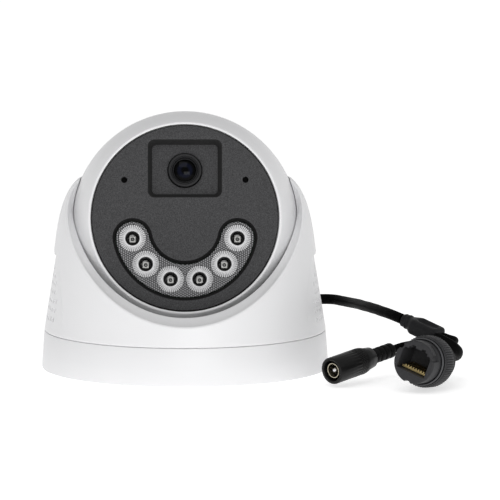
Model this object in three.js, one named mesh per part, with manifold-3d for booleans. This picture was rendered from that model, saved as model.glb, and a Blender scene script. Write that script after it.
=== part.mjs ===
// Turret ("eyeball") network camera on a round surface-mount base, with a pigtail lead.
// Units are millimetres, +Z is up, the lens looks towards -Y and the origin is the centre
// of the underside of the base.
import * as THREE from "three";
import { mergeVertices } from "three/addons/utils/BufferGeometryUtils.js";
import Module from "manifold-3d";

const wasm = await Module();
wasm.setup();

// ---- driving dimensions -------------------------------------------------------------
const GAP = 0.3; // clearance between two pieces that meet

const BASE_R = 55.15; // mounting base, at its foot
const BASE_TOP_R = 54.2;
const BASE_H = 14.6;
const BASE_WALL = 2.6;
const BASE_FLOOR = 2.5;
const HUB_OUTER_R = 16;
const HUB_BORE_R = 12;
const HUB_TOP = 7.7;
const MOUNT_HOLE_CIRCLE_R = 37;
const MOUNT_HOLE_R = 2.4;

const SHELL_BOTTOM = BASE_H + GAP; // housing shell, stands on the base
const HOOD_TOP = 72.8;
const SHELL_WALL = 2.2;
const VISOR_RIM = 18.9; // height of the 45 degree visor plane over the ball centre
const VISOR_LIP = 13.3; // the same for the inner lip round the ball
const VISOR_LIP_R = 43.9;
const RIM_WIDTH = 1.5;
const BAND_THICKNESS = 2.6;
const PANEL_TOP = 45; // arched side panels, pressed into the shell
const PANEL_DEPTH = 1.1;

const BALL_Z = 55; // ball centre above the underside of the base
const BALL_R = 43.7;
const BALL_WALL = 2;
const BALL_SPLIT = 4; // plane where front and rear halves of the ball meet
const FACE_PLANE = 23.6; // distance of the flat face from the ball centre
const FACE_TILT = THREE.MathUtils.degToRad(13.5); // how far the face looks up at rest
const FACE_R = 35.7;
const FACE_THICKNESS = 2;

const YOKE_INNER_R = 44.15; // tilt yoke, a half ring behind the ball
const YOKE_OUTER_R = 45.6;
const YOKE_HALF_WIDTH = 3.5;
const TRUNNION_R = 1.8;
const TRUNNION_END = 47.5;
const PIVOT_R = 5; // hollow roll pivot at the back of the ball

const LENS_Y = 18.6; // lens centre above the face centre
const RECESS_W = 27.8; // rectangular lens recess
const RECESS_H = 21.8;
const RECESS_Y = 19.0;
const RECESS_DEPTH = 3.8;
const BARREL_R = 6.4;
const LENS_R = 4.7;

const LED_ARC_Y = -3.65; // centre of the arc of light emitters, below the face centre
const LED_ARC_R = 20.4;
const LED_STEP = THREE.MathUtils.degToRad(31.5);
const LED_COUNT = 6;
const LED_R = 5.2;
const WINDOW_HALF_WIDTH = 6.6;
const MIC_X = 23.1;
const MIC_Y = 14.6;

const CABLE_D = 4; // main lead
const LAN_LEAD_D = 4;
const POWER_LEAD_D = 3;
const GROMMET_AZIMUTH = THREE.MathUtils.degToRad(34); // behind +X
const GROMMET_Z = 21.3;

// ---- materials ----------------------------------------------------------------------
const finish = (color, roughness, metalness = 0) =>
  new THREE.MeshStandardMaterial({ color, roughness, metalness });
const WHITE = finish(0xe6e6e8, 0.45);
const FACE_BLACK = finish(0x3c3c3e, 0.7);
const INNER_BLACK = finish(0x18181a, 0.6);
const RUBBER = finish(0x141415, 0.6);
const CONNECTOR = finish(0x1e1e20, 0.45);
const STEEL = finish(0xb4b6ba, 0.3, 1);
const BRASS = finish(0xc9a45c, 0.3, 1);
const GLASS = finish(0x0a0c12, 0.05);
const WINDOW = finish(0x4a4a4e, 0.15);
const OPTIC = finish(0xc8ccd2, 0.15);
const CHIP = finish(0x2a2c30, 0.35);
const BOARD = finish(0x1d5a34, 0.5);
const SEAL = finish(0x55575a, 0.8);

// ---- solids -------------------------------------------------------------------------
function toSolid(geometry) {
  const bare = geometry.clone();
  bare.deleteAttribute("normal");
  bare.deleteAttribute("uv");
  const merged = mergeVertices(bare, 1e-4);
  const vertProperties = new Float32Array(merged.attributes.position.array);
  const triVerts = new Uint32Array(merged.index.array);
  return new wasm.Manifold(new wasm.Mesh({ numProp: 3, vertProperties, triVerts }));
}

function toGeometry(solid) {
  const mesh = solid.getMesh();
  const geometry = new THREE.BufferGeometry();
  geometry.setAttribute("position", new THREE.BufferAttribute(new Float32Array(mesh.vertProperties), 3));
  geometry.setIndex(new THREE.BufferAttribute(new Uint32Array(mesh.triVerts), 1));
  geometry.computeVertexNormals();
  return geometry;
}

// The first shape with every shape of `tools` cut away.
function cut(body, ...tools) {
  const solid = tools.reduce((left, tool) => left.subtract(toSolid(tool)), toSolid(body));
  return toGeometry(solid);
}

function join(...pieces) {
  const solids = pieces.map(toSolid);
  return toGeometry(solids.reduce((left, right) => left.add(right)));
}

// A closed outline of [radius, height] pairs, turned about Z.
function turned(outline, segments = 48) {
  const points = outline.map(([r, z]) => new THREE.Vector2(r, z));
  const first = points[0];
  const last = points[points.length - 1];
  const onAxis = first.x === 0 && last.x === 0;
  if (!onAxis) points.push(first.clone());
  return new THREE.LatheGeometry(points, segments).rotateX(Math.PI / 2);
}

// A ring or tube between two radii and two heights.
const tube = (inner, outer, low, high, segments = 32) =>
  turned([[inner, low], [outer, low], [outer, high], [inner, high]], segments);

// A solid round bar along Z.
const disc = (radius, low, high, segments = 24) =>
  turned([[0, low], [radius, low], [radius, high], [0, high]], segments);

// Points on an arc of a meridian circle, as [radius, height] pairs.
function meridian(radius, fromHeight, toHeight, steps) {
  const start = Math.asin(fromHeight / radius);
  const end = Math.asin(toHeight / radius);
  return Array.from({ length: steps + 1 }, (_, i) => {
    const angle = start + ((end - start) * i) / steps;
    return [radius * Math.cos(angle), radius * Math.sin(angle)];
  });
}

function extruded(shape, low, high, curveSegments = 8) {
  const options = { depth: high - low, bevelEnabled: false, curveSegments };
  return new THREE.ExtrudeGeometry(shape, options).translate(0, 0, low);
}

function roundedRect(width, height, radius, x = 0, y = 0) {
  const shape = new THREE.Shape();
  const [w, h] = [width / 2 - radius, height / 2 - radius];
  shape.absarc(x + w, y + h, radius, 0, Math.PI / 2);
  shape.absarc(x - w, y + h, radius, Math.PI / 2, Math.PI);
  shape.absarc(x - w, y - h, radius, Math.PI, 1.5 * Math.PI);
  shape.absarc(x + w, y - h, radius, 1.5 * Math.PI, 2 * Math.PI);
  shape.closePath();
  return shape;
}

// Band of an annulus between two angles, with half-round ends.
function arcBand(centreY, radius, halfWidth, halfAngle) {
  const shape = new THREE.Shape();
  const down = -Math.PI / 2;
  const start = down - halfAngle;
  const end = down + halfAngle;
  const endCap = [radius * Math.cos(end), centreY + radius * Math.sin(end)];
  const startCap = [radius * Math.cos(start), centreY + radius * Math.sin(start)];
  shape.absarc(0, centreY, radius + halfWidth, start, end, false);
  shape.absarc(endCap[0], endCap[1], halfWidth, end, end + Math.PI, false);
  shape.absarc(0, centreY, radius - halfWidth, end, start, true);
  shape.absarc(startCap[0], startCap[1], halfWidth, start + Math.PI, start + 2 * Math.PI, false);
  shape.closePath();
  return shape;
}

// A tube of round section along a smooth curve through the given points.
function lead(points, diameter, steps, sides = 8) {
  const curve = new THREE.CatmullRomCurve3(points.map((p) => new THREE.Vector3(...p)));
  const section = new THREE.Shape();
  const corner = (i) => [
    (diameter / 2) * Math.cos((i * 2 * Math.PI) / sides),
    (diameter / 2) * Math.sin((i * 2 * Math.PI) / sides),
  ];
  section.moveTo(...corner(0));
  for (let i = 1; i < sides; i += 1) section.lineTo(...corner(i));
  section.closePath();
  return new THREE.ExtrudeGeometry(section, { steps, extrudePath: curve, bevelEnabled: false });
}

function piece(name, geometry, material) {
  const mesh = new THREE.Mesh(geometry, material);
  mesh.name = name;
  return mesh;
}

// ---- mounting base ------------------------------------------------------------------
function mountingBase() {
  const inner = BASE_TOP_R - BASE_WALL;
  const body = turned([
    [0, 0], [BASE_R, 0], [BASE_TOP_R, BASE_H], [inner, BASE_H], [inner, BASE_FLOOR],
    [HUB_OUTER_R, BASE_FLOOR], [HUB_OUTER_R, HUB_TOP], [HUB_BORE_R, HUB_TOP],
    [HUB_BORE_R, BASE_FLOOR], [0, BASE_FLOOR],
  ], 44);
  const holes = [0, 1, 2].map((i) => {
    const angle = Math.PI / 2 + (i * 2 * Math.PI) / 3;
    const x = MOUNT_HOLE_CIRCLE_R * Math.cos(angle);
    const y = MOUNT_HOLE_CIRCLE_R * Math.sin(angle);
    return disc(MOUNT_HOLE_R, -1, BASE_FLOOR + 1, 10).translate(x, y, 0);
  });
  const sockets = lockScrewPlaces().map(([x, y]) => disc(1, 4, HUB_TOP + 1, 8).translate(x, y, 0));
  return cut(body, ...holes, ...sockets);
}

const LOCK_RING_LOW = HUB_TOP + GAP;
const LOCK_RING_HIGH = LOCK_RING_LOW + 1.3;
const LOCK_RING_INNER_R = 12.6;
const LOCK_RING_OUTER_R = 20.5;

function lockScrewPlaces() {
  const radius = (HUB_OUTER_R + HUB_BORE_R) / 2 + 0.4;
  return [0, 1, 2].map((i) => {
    const angle = (i * 2 * Math.PI) / 3;
    return [radius * Math.cos(angle), radius * Math.sin(angle)];
  });
}

function panLockRing() {
  const ring = tube(LOCK_RING_INNER_R, LOCK_RING_OUTER_R, LOCK_RING_LOW, LOCK_RING_HIGH, 28);
  const holes = lockScrewPlaces().map(([x, y]) => disc(1.1, 0, 20, 8).translate(x, y, 0));
  return cut(ring, ...holes);
}

// A pan-head screw standing on z = 0, head up, with a cross recess left to its finish.
const screw = (shaftR, headR, headH, length) =>
  turned([[0, -length], [shaftR, -length], [shaftR, 0], [headR, 0], [headR * 0.8, headH], [0, headH]], 10);

function buildBase(group) {
  group.add(piece("mounting_base", mountingBase(), WHITE));
  const washer = tube(HUB_OUTER_R + 0.4, 21, BASE_FLOOR + GAP, 4.6, 24);
  group.add(piece("pan_friction_washer", washer, SEAL));
  group.add(piece("pan_lock_ring", panLockRing(), STEEL));
  lockScrewPlaces().forEach(([x, y], i) => {
    const mesh = piece(`lock_ring_screw_${i + 1}`, screw(0.7, 1.5, 1, 3.6), STEEL);
    mesh.position.set(x, y, LOCK_RING_HIGH + GAP);
    group.add(mesh);
  });
}

// ---- housing shell ------------------------------------------------------------------
// Outside of the shell, from its foot to the top of the hood, as [radius, height] pairs.
function shellOutline() {
  const waist = new THREE.Vector2(49.9, 49);
  const shoulder = new THREE.CubicBezierCurve(
    waist, new THREE.Vector2(48.7, 58.3), new THREE.Vector2(46.8, 68.1), new THREE.Vector2(41, HOOD_TOP),
  );
  return [[BASE_TOP_R, SHELL_BOTTOM], ...shoulder.getPoints(6).map((p) => [p.x, p.y])];
}

function shellRadius(height) {
  const outline = shellOutline();
  const i = outline.findIndex(([, z]) => z > height);
  if (i === 0) return outline[0][0];
  if (i < 0) return outline[outline.length - 1][0];
  const [[r0, z0], [r1, z1]] = [outline[i - 1], outline[i]];
  return r0 + ((r1 - r0) * (height - z0)) / (z1 - z0);
}

// Radius at which the visor plane leaves the shell, at an angle from straight ahead.
function rimRadius(angle) {
  let radius = BASE_TOP_R;
  for (let i = 0; i < 40; i += 1) {
    const height = BALL_Z + VISOR_RIM - radius * Math.cos(angle);
    radius += 0.5 * (shellRadius(height) - radius);
  }
  return radius;
}

// Moves every point of a turned solid. `place` takes its angle from straight ahead, its
// radius and its height, and gives the new radius and height.
function reshaped(geometry, place) {
  const position = geometry.attributes.position;
  for (let i = 0; i < position.count; i += 1) {
    const [x, y] = [position.getX(i), position.getY(i)];
    const angle = Math.atan2(x, -y);
    const [radius, height] = place(angle, Math.hypot(x, y), position.getZ(i));
    position.setXYZ(i, radius * Math.sin(angle), -radius * Math.cos(angle), height);
  }
  return geometry;
}

// Everything above a level of the 45 degree plane through the ball centre, sheared so
// that a level line of the turned solid lies in that plane.
function aboveVisor(outline, radiusAt, segments) {
  return reshaped(turned(outline, segments), (angle, radius, level) => {
    const placed = radiusAt(angle, radius);
    return [placed, BALL_Z + level - placed * Math.cos(angle)];
  });
}

// The space over the visor: a dished band falls from the rim to the lip round the ball.
function visorSpace() {
  const [far, top, lip, band, rim] = [80, 200, 10, 20, 30];
  const outline = [
    [0, VISOR_LIP], [lip, VISOR_LIP], [band, VISOR_RIM - 0.7], [rim, VISOR_RIM],
    [far, VISOR_RIM], [far, top], [0, top],
  ];
  const radiusAt = (angle, radius) => {
    const edge = rimRadius(angle);
    if (Math.abs(radius - lip) < 1) return Math.min(VISOR_LIP_R, edge - RIM_WIDTH - 0.2);
    if (Math.abs(radius - band) < 1) return edge - RIM_WIDTH;
    if (Math.abs(radius - rim) < 1) return edge - RIM_WIDTH / 2;
    return radius;
  };
  return aboveVisor(outline, radiusAt, 44);
}

// Inside of the shell wall, closed above by the visor band and the hood.
function shellHollow() {
  const top = BALL_Z + 4.6;
  const wall = shellOutline().filter(([, z]) => z < top).map(([r, z]) => [r - SHELL_WALL, z]);
  wall[0] = [wall[0][0], SHELL_BOTTOM - 1];
  const inside = turned([[0, SHELL_BOTTOM - 1], ...wall, [shellRadius(top) - SHELL_WALL, top], [0, top]], 32);
  return cut(inside, visorSpace().translate(0, 0, -BAND_THICKNESS));
}

const sphere = (radius, segments = 32) =>
  new THREE.SphereGeometry(radius, segments, segments / 2).rotateX(Math.PI / 2);

// The quarter behind and below the ball through which the tilt yoke swings.
function yokeSweep() {
  const reach = 60;
  const clear = 4.6;
  const front = new THREE.BoxGeometry(2 * reach, reach, 2 * reach).translate(0, -clear - reach / 2, 0);
  const above = new THREE.BoxGeometry(2 * reach, 2 * reach, reach).translate(0, 0, clear + reach / 2);
  return cut(sphere(YOKE_OUTER_R + 0.8), front, above).translate(0, 0, BALL_Z);
}

// One arched panel, seen from +X, pressed into the wall and fading out towards the foot.
function sidePanel() {
  const foot = SHELL_BOTTOM - 1;
  const arch = new THREE.Shape();
  arch.moveTo(-27.5, foot);
  arch.bezierCurveTo(-26, 24, -19, 40, -13, 43.5);
  arch.bezierCurveTo(-8, PANEL_TOP, 8, PANEL_TOP, 13, 43.5);
  arch.bezierCurveTo(19, 40, 26, 24, 27.5, foot);
  arch.closePath();
  const slab = extruded(arch, 40, 60, 6);
  slab.applyMatrix4(new THREE.Matrix4().set(0, 0, 1, 0, 1, 0, 0, 0, 0, 1, 0, 0, 0, 0, 0, 1));
  const topR = shellRadius(PANEL_TOP) - PANEL_DEPTH;
  const behind = turned([[0, 0], [BASE_TOP_R + 0.12, SHELL_BOTTOM], [topR, PANEL_TOP], [0, PANEL_TOP + 5]], 48);
  return cut(slab, behind);
}

function boss(angle, low, high, radius) {
  const place = 48;
  return disc(radius, low, high, 16).translate(place * Math.cos(angle), place * Math.sin(angle), 0);
}

const FLOOR_SCREW_ANGLES = [60, 125, 235, 305].map(THREE.MathUtils.degToRad);

function upperShell() {
  const outside = turned([[0, SHELL_BOTTOM], ...shellOutline(), [0, HOOD_TOP]], 60);
  const well = disc(BALL_R + 0.35, SHELL_BOTTOM - 1, BALL_Z, 44);
  const ballSpace = sphere(BALL_R + 0.4, 44).translate(0, 0, BALL_Z);
  const pocket = disc(TRUNNION_R + GAP, -47.85, 47.85, 16).rotateY(Math.PI / 2).translate(0, 0, BALL_Z);
  const cable = disc(3.7, 40, 60, 16).rotateY(Math.PI / 2).rotateZ(GROMMET_AZIMUTH).translate(0, 0, GROMMET_Z);
  const shell = cut(outside, shellHollow());
  const posts = FLOOR_SCREW_ANGLES.map((angle) => boss(angle, 18.3, 27, 3));
  const threads = FLOOR_SCREW_ANGLES.map((angle) => boss(angle, 10, 25, 1.4));
  const left = sidePanel().rotateZ(Math.PI);
  const whole = join(shell, ...posts);
  return cut(whole, well, ballSpace, yokeSweep(), visorSpace(), pocket, cable, sidePanel(), left, ...threads);
}

// Cup that closes the housing from below, turns on the base hub and carries the shell.
function housingFloor() {
  const [low, deck, rimZ] = [4.9, 7.3, 17.9];
  const [wallIn, wallOut, flangeR] = [43.3, 45, BASE_TOP_R - SHELL_WALL - 0.6];
  const body = turned([
    [HUB_OUTER_R + GAP, low], [wallOut, low], [wallOut, rimZ - 2], [flangeR, rimZ - 2],
    [flangeR, rimZ], [wallIn, rimZ], [wallIn, deck], [HUB_OUTER_R + GAP, deck],
  ], 32);
  return cut(body, ...FLOOR_SCREW_ANGLES.map((angle) => boss(angle, 10, 25, 1.4)));
}

// Printed board, a sector of a ring behind the ball.
function sectorBoard(innerR, outerR, halfAngle, low, high) {
  const shape = new THREE.Shape();
  const [start, end] = [Math.PI / 2 - halfAngle, Math.PI / 2 + halfAngle];
  shape.absarc(0, 0, outerR, start, end, false);
  shape.absarc(0, 0, innerR, end, start, true);
  shape.closePath();
  return extruded(shape, low, high, 20);
}

function grommet() {
  const outline = [
    [CABLE_D / 2 + GAP, 49], [3.4, 49], [3.4, 54.4], [4.6, 54.4], [4.6, 55.4], [3.4, 58],
    [CABLE_D / 2 + GAP, 58],
  ];
  return turned(outline, 16).rotateY(Math.PI / 2).rotateZ(GROMMET_AZIMUTH).translate(0, 0, GROMMET_Z);
}

function speaker() {
  const outline = [[0, -2.8], [6, -2.8], [6, 0], [9, 0], [9, 1.6], [0, 1.6]];
  return turned(outline, 28).rotateY(Math.PI / 2).translate(44.6, 0, 28.5);
}

function buildHousing(group) {
  group.add(piece("upper_shell", upperShell(), WHITE));
  group.add(piece("housing_floor", housingFloor(), WHITE));
  FLOOR_SCREW_ANGLES.forEach((angle, i) => {
    const mesh = piece(`floor_screw_${i + 1}`, screw(1.1, 2.2, 1.6, 9), STEEL);
    mesh.rotation.x = Math.PI;
    mesh.position.set(48 * Math.cos(angle), 48 * Math.sin(angle), 15.6);
    group.add(mesh);
  });
  group.add(piece("interface_board", sectorBoard(27, 42, 1.1, 9.2, 10.8), BOARD));
  const transformer = new THREE.BoxGeometry(14, 8, 5).translate(0, 34.5, 13.6);
  group.add(piece("ethernet_transformer", transformer, INNER_BLACK));
  group.add(piece("speaker_driver", speaker(), INNER_BLACK));
  group.add(piece("cable_grommet", grommet(), RUBBER));
}

// ---- tilt yoke ----------------------------------------------------------------------
// Half ring in the plane of the trunnions and the roll pivot, in the ball's own frame:
// +Z out of the face, +X to the right.
function tiltYoke() {
  const arch = new THREE.Shape();
  arch.absarc(0, 0, YOKE_OUTER_R, 0, Math.PI, false);
  arch.absarc(0, 0, YOKE_INNER_R, Math.PI, 0, true);
  arch.closePath();
  const strap = extruded(arch, -YOKE_HALF_WIDTH, YOKE_HALF_WIDTH, 14).rotateX(-Math.PI / 2);
  const ends = [1, -1].map((side) => {
    const outline = [
      [0, YOKE_INNER_R], [YOKE_HALF_WIDTH, YOKE_INNER_R], [YOKE_HALF_WIDTH, YOKE_OUTER_R],
      [TRUNNION_R, YOKE_OUTER_R], [TRUNNION_R, TRUNNION_END], [0, TRUNNION_END],
    ];
    return turned(outline, 16).rotateY((side * Math.PI) / 2);
  });
  const pad = disc(8, -45.3, -YOKE_INNER_R - 0.05, 20);
  const bore = disc(PIVOT_R + GAP, -60, -40, 20);
  return cut(join(strap, ...ends, pad), bore);
}

// ---- ball ---------------------------------------------------------------------------
const BALL_INNER_R = BALL_R - BALL_WALL;
const FACE_FRONT = FACE_PLANE - 0.1;
const FACE_BACK = FACE_FRONT - FACE_THICKNESS;

function ballFrontShell() {
  const [mouth, ledge] = [FACE_R + GAP, FACE_R - 1.8];
  return turned([
    ...meridian(BALL_R, BALL_SPLIT, FACE_PLANE, 4),
    [mouth, FACE_PLANE], [mouth, FACE_BACK - GAP], [ledge, FACE_BACK - GAP], [ledge, 19.6],
    ...meridian(BALL_INNER_R, 19.6, BALL_SPLIT, 2),
  ], 44);
}

function ballRearShell() {
  const bore = PIVOT_R + GAP;
  const outerEnd = -Math.sqrt(BALL_R ** 2 - bore ** 2);
  const innerEnd = -Math.sqrt(BALL_INNER_R ** 2 - bore ** 2);
  return turned([
    ...meridian(BALL_R, outerEnd, BALL_SPLIT - GAP, 8),
    ...meridian(BALL_INNER_R, BALL_SPLIT - GAP, innerEnd, 5),
  ], 36);
}

function ledPlaces() {
  return Array.from({ length: LED_COUNT }, (_, i) => {
    const angle = (i - (LED_COUNT - 1) / 2) * LED_STEP;
    return [LED_ARC_R * Math.sin(angle), LED_ARC_Y - LED_ARC_R * Math.cos(angle)];
  });
}

const WINDOW_HALF_ANGLE = ((LED_COUNT - 1) / 2) * LED_STEP;

function faceCover() {
  const plate = disc(FACE_R, FACE_BACK, FACE_FRONT, 44);
  const floorZ = FACE_FRONT - RECESS_DEPTH;
  const pocketBody = roundedRect(RECESS_W + 2.6, RECESS_H + 2.6, 3, 0, RECESS_Y);
  const body = join(plate, extruded(pocketBody, floorZ - 1.5, FACE_BACK + 0.5, 3));
  const pocket = extruded(roundedRect(RECESS_W, RECESS_H, 2.4, 0, RECESS_Y), floorZ, 30, 3);
  const lensHole = disc(BARREL_R + GAP, 0, 30, 20).translate(0, LENS_Y, 0);
  const band = arcBand(LED_ARC_Y, LED_ARC_R, WINDOW_HALF_WIDTH, WINDOW_HALF_ANGLE);
  const window = extruded(band, 0, 30, 10);
  const mics = [-1, 1].map((side) => disc(1, 0, 30, 8).translate(side * MIC_X, MIC_Y, 0));
  return cut(body, pocket, lensHole, window, ...mics);
}

function ledWindow() {
  const band = arcBand(LED_ARC_Y, LED_ARC_R, WINDOW_HALF_WIDTH - GAP, WINDOW_HALF_ANGLE);
  return extruded(band, FACE_BACK - 0.4, FACE_FRONT - 0.8, 10);
}

// Reflector cup round one emitter, open at both ends.
const ledOptic = () => turned([[2.3, 15.3], [3.2, 15.3], [LED_R, 18.4], [LED_R, 21], [4.8, 21]], 12);

const ledChip = () => new THREE.BoxGeometry(2.4, 2.4, 1.2).translate(0, 0, 15.9);

function ledBoard() {
  const lensOpening = extruded(roundedRect(32.5, 40, 2, 0, LENS_Y + 7), 10, 20);
  return cut(disc(33, 13.4, 15, 32), lensOpening);
}

function lensBarrel() {
  const lip = FACE_FRONT - RECESS_DEPTH + 1.8;
  return turned([
    [0, 6], [5.4, 6], [5.4, 16], [BARREL_R, 16], [BARREL_R, lip - 0.4], [BARREL_R - 0.4, lip],
    [LENS_R + 0.5, lip], [LENS_R + GAP, lip - 1.9], [0, lip - 1.9],
  ], 20).translate(0, LENS_Y, 0);
}

function lensGlass() {
  const back = FACE_FRONT - RECESS_DEPTH + 0.2;
  return turned([
    [0, back], [LENS_R, back], [LENS_R, back + 0.4], [3.4, back + 1], [1.8, back + 1.3],
    [0, back + 1.4],
  ], 20).translate(0, LENS_Y, 0);
}

function lensHolder() {
  const block = extruded(roundedRect(17, 17, 1.5, 0, LENS_Y), 3.1, 13, 2);
  return cut(block, disc(5.4 + GAP, 0, 20, 20).translate(0, LENS_Y, 0));
}

function heatSink() {
  const plate = new THREE.BoxGeometry(30, 30, 2).translate(0, 0, -9.7);
  const fins = [-12, -6, 0, 6, 12].map((x) => new THREE.BoxGeometry(1.4, 30, 5).translate(x, 0, -13));
  return join(plate, ...fins);
}

function rollPivot() {
  const bore = PIVOT_R - 1.6;
  const [end, flangeLow, flangeHigh] = [-46.6, -40.4, -38.8];
  return turned([
    [bore, end], [PIVOT_R, end], [PIVOT_R, flangeLow], [8.4, flangeLow], [8.4, flangeHigh],
    [bore, flangeHigh],
  ], 18);
}

function buildBall(group) {
  group.add(piece("ball_front_shell", ballFrontShell(), WHITE));
  group.add(piece("ball_rear_shell", ballRearShell(), WHITE));
  const seal = tube(39.4, 40.9, BALL_SPLIT - 1.7, BALL_SPLIT + 1.6, 36);
  group.add(piece("ball_seal", seal, SEAL));
  group.add(piece("face_cover", faceCover(), FACE_BLACK));
  group.add(piece("led_window", ledWindow(), WINDOW));
  ledPlaces().forEach(([x, y], i) => {
    group.add(piece(`led_optic_${i + 1}`, ledOptic().translate(x, y, 0), OPTIC));
    group.add(piece(`led_chip_${i + 1}`, ledChip().translate(x, y, 0), CHIP));
  });
  group.add(piece("led_board", ledBoard(), BOARD));
  group.add(piece("lens_barrel", lensBarrel(), INNER_BLACK));
  group.add(piece("lens_glass", lensGlass(), GLASS));
  group.add(piece("lens_holder", lensHolder(), INNER_BLACK));
  const sensorBoard = extruded(roundedRect(34, 26, 1, 0, LENS_Y - 4), 1.2, 2.8, 2);
  group.add(piece("sensor_board", sensorBoard, BOARD));
  const sensor = new THREE.BoxGeometry(8, 7, 1.2).translate(0, LENS_Y, 3.9);
  group.add(piece("image_sensor", sensor, CHIP));
  group.add(piece("main_board", disc(30, -8.4, -6.8, 32), BOARD));
  group.add(piece("heat_sink", heatSink(), STEEL));
  [-1, 1].forEach((side) => {
    const name = side < 0 ? "microphone_left" : "microphone_right";
    const capsule = disc(1.8, 19.4, FACE_BACK - GAP, 8).translate(side * MIC_X, MIC_Y, 0);
    group.add(piece(name, capsule, INNER_BLACK));
  });
  group.add(piece("roll_pivot", rollPivot(), WHITE));
  group.add(piece("pivot_clip", tube(PIVOT_R + GAP, 6.4, -46.3, -45.6, 18), STEEL));
}

// ---- lead and connectors ------------------------------------------------------------
// The main lead leaves the shell behind the right side panel and comes forward to a
// moulded junction, from which a network lead and a power lead return to their sockets.
const MAIN_ROUTE = [
  [48.33, 32.6, 21.3], [53, 34.7, 21.4], [57.7, 33.2, 21.5], [60.8, 29.2, 21.5],
  [62.9, 24.5, 21.7], [64.6, 19.6, 22], [65.9, 14.7, 22.4], [67.1, 9.7, 22.8],
  [68.2, 4.7, 23.1], [69.3, -0.3, 23.4], [70.5, -5.3, 23.8], [71.8, -10.3, 24],
  [73.3, -15.2, 24.2], [74.9, -20.1, 24.2], [76.8, -24.9, 24.2], [80, -30.8, 23.7],
  [82.49, -33.1, 22.92],
];
const LAN_ROUTE = [
  [95.27, -44.86, 17.38], [97.5, -46.4, 16.5], [99.9, -46.8, 15.2], [101.9, -45.8, 13.7],
  [103.1, -43.6, 12.2], [103.4, -41.1, 11.1], [103.3, -38.4, 10.1], [103.1, -35.7, 9.3],
  [102.4, -33.1, 8.6], [100.8, -30.8, 7.9], [98.3, -30.5, 7.3], [96.3, -32.3, 7],
  [96.2, -35.1, 7.1], [97, -37.8, 7.5], [98.1, -40.3, 8], [98.6, -43, 8.4],
  [97.3, -45.54, 8.71],
];
const POWER_ROUTE = [
  [97.81, -41.28, 17.38], [100.3, -42.1, 16.6], [102, -40, 15.8], [102.2, -37.1, 15],
  [101.6, -34.3, 14.4], [100.5, -31.6, 13.8], [98.8, -29.1, 13.4], [96.8, -27.1, 13],
  [94.3, -25.4, 12.6], [91.6, -24.2, 12.3], [88.7, -23.6, 12.1], [85.8, -23.6, 11.7],
  [83, -24.6, 11.3], [80.8, -26.5, 10.9], [78.8, -28.7, 10.5],
];

// A frame whose Z axis points along `axis`, placed at `origin` and rolled about it.
function aimed(origin, axis, roll, meshes) {
  const group = new THREE.Group();
  const along = new THREE.Vector3(...axis).normalize();
  group.quaternion.setFromUnitVectors(new THREE.Vector3(0, 0, 1), along);
  group.quaternion.multiply(new THREE.Quaternion().setFromAxisAngle(new THREE.Vector3(0, 0, 1), roll));
  group.position.set(...origin);
  group.add(...meshes);
  return group;
}

// Waterproof network socket. Z runs out of its mouth, with the locking ring round 0.
const LAN_RING_R = 9.8;
const LAN_RING_HALF = 4.2;
const LAN_BARREL_R = 8.15;
const LAN_FRONT = 12.7;
const LAN_ROLL = THREE.MathUtils.degToRad(-45);

function lanSocket() {
  const barrel = turned([
    [0, -4.9], [9.2, -4.9], [9.2, -4.5], [LAN_BARREL_R, -4.5], [LAN_BARREL_R, LAN_FRONT], [0, LAN_FRONT],
  ], 28);
  const mouth = new THREE.BoxGeometry(11.8, 8.2, 14).translate(0, 0, LAN_FRONT - 5);
  const latch = new THREE.BoxGeometry(6, 2.4, 14).translate(0, 4.6, LAN_FRONT - 5);
  const latchNose = new THREE.BoxGeometry(3.4, 2, 14).translate(0, 6, LAN_FRONT - 5);
  return cut(barrel, mouth, latch, latchNose);
}

function lanContacts() {
  const bed = new THREE.BoxGeometry(10.6, 0.8, 8.5).translate(0, -3.35, 5.35);
  const teeth = Array.from({ length: 8 }, (_, i) =>
    new THREE.BoxGeometry(0.5, 1.6, 6).translate((i - 3.5) * 1.1, -2.6, 5));
  return join(bed, ...teeth);
}

function knurledRing() {
  const shape = new THREE.Shape();
  const flutes = 28;
  for (let i = 0; i < 2 * flutes; i += 1) {
    const angle = (i * Math.PI) / flutes;
    const radius = i % 2 ? LAN_RING_R - 0.45 : LAN_RING_R;
    const point = [radius * Math.cos(angle), radius * Math.sin(angle)];
    if (i === 0) shape.moveTo(...point);
    else shape.lineTo(...point);
  }
  shape.closePath();
  const hole = new THREE.Path();
  hole.absarc(0, 0, LAN_BARREL_R + GAP, 0, 2 * Math.PI, true);
  shape.holes.push(hole);
  return extruded(shape, -LAN_RING_HALF, LAN_RING_HALF, 16);
}

const lanBody = () => turned([
  [0, -14.6], [3.4, -14.6], [4.4, -12.4], [6.8, -11], [7.5, -10.2], [7.5, -5.2], [0, -5.2],
], 20);

// Power socket. Z runs out of its mouth, which is at 0.
function powerSocket() {
  return turned([
    [0, -22], [4, -22], [4.4, -19], [5, -17], [5.15, -15.6], [5.15, -0.4], [4.85, 0], [3.9, 0],
    [3.9, -9.5], [0, -9.5],
  ], 20);
}

function powerRelief() {
  const outline = [[0, -34.4], [2.1, -34.4]];
  for (let i = 0; i < 4; i += 1) {
    const low = -33.8 + i * 2.8;
    outline.push([2.9, low], [2.9, low + 1.8], [2.3, low + 2], [2.3, low + 2.6]);
  }
  outline.push([3.2, -22.3], [0, -22.3]);
  return turned(outline, 12);
}

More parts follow.
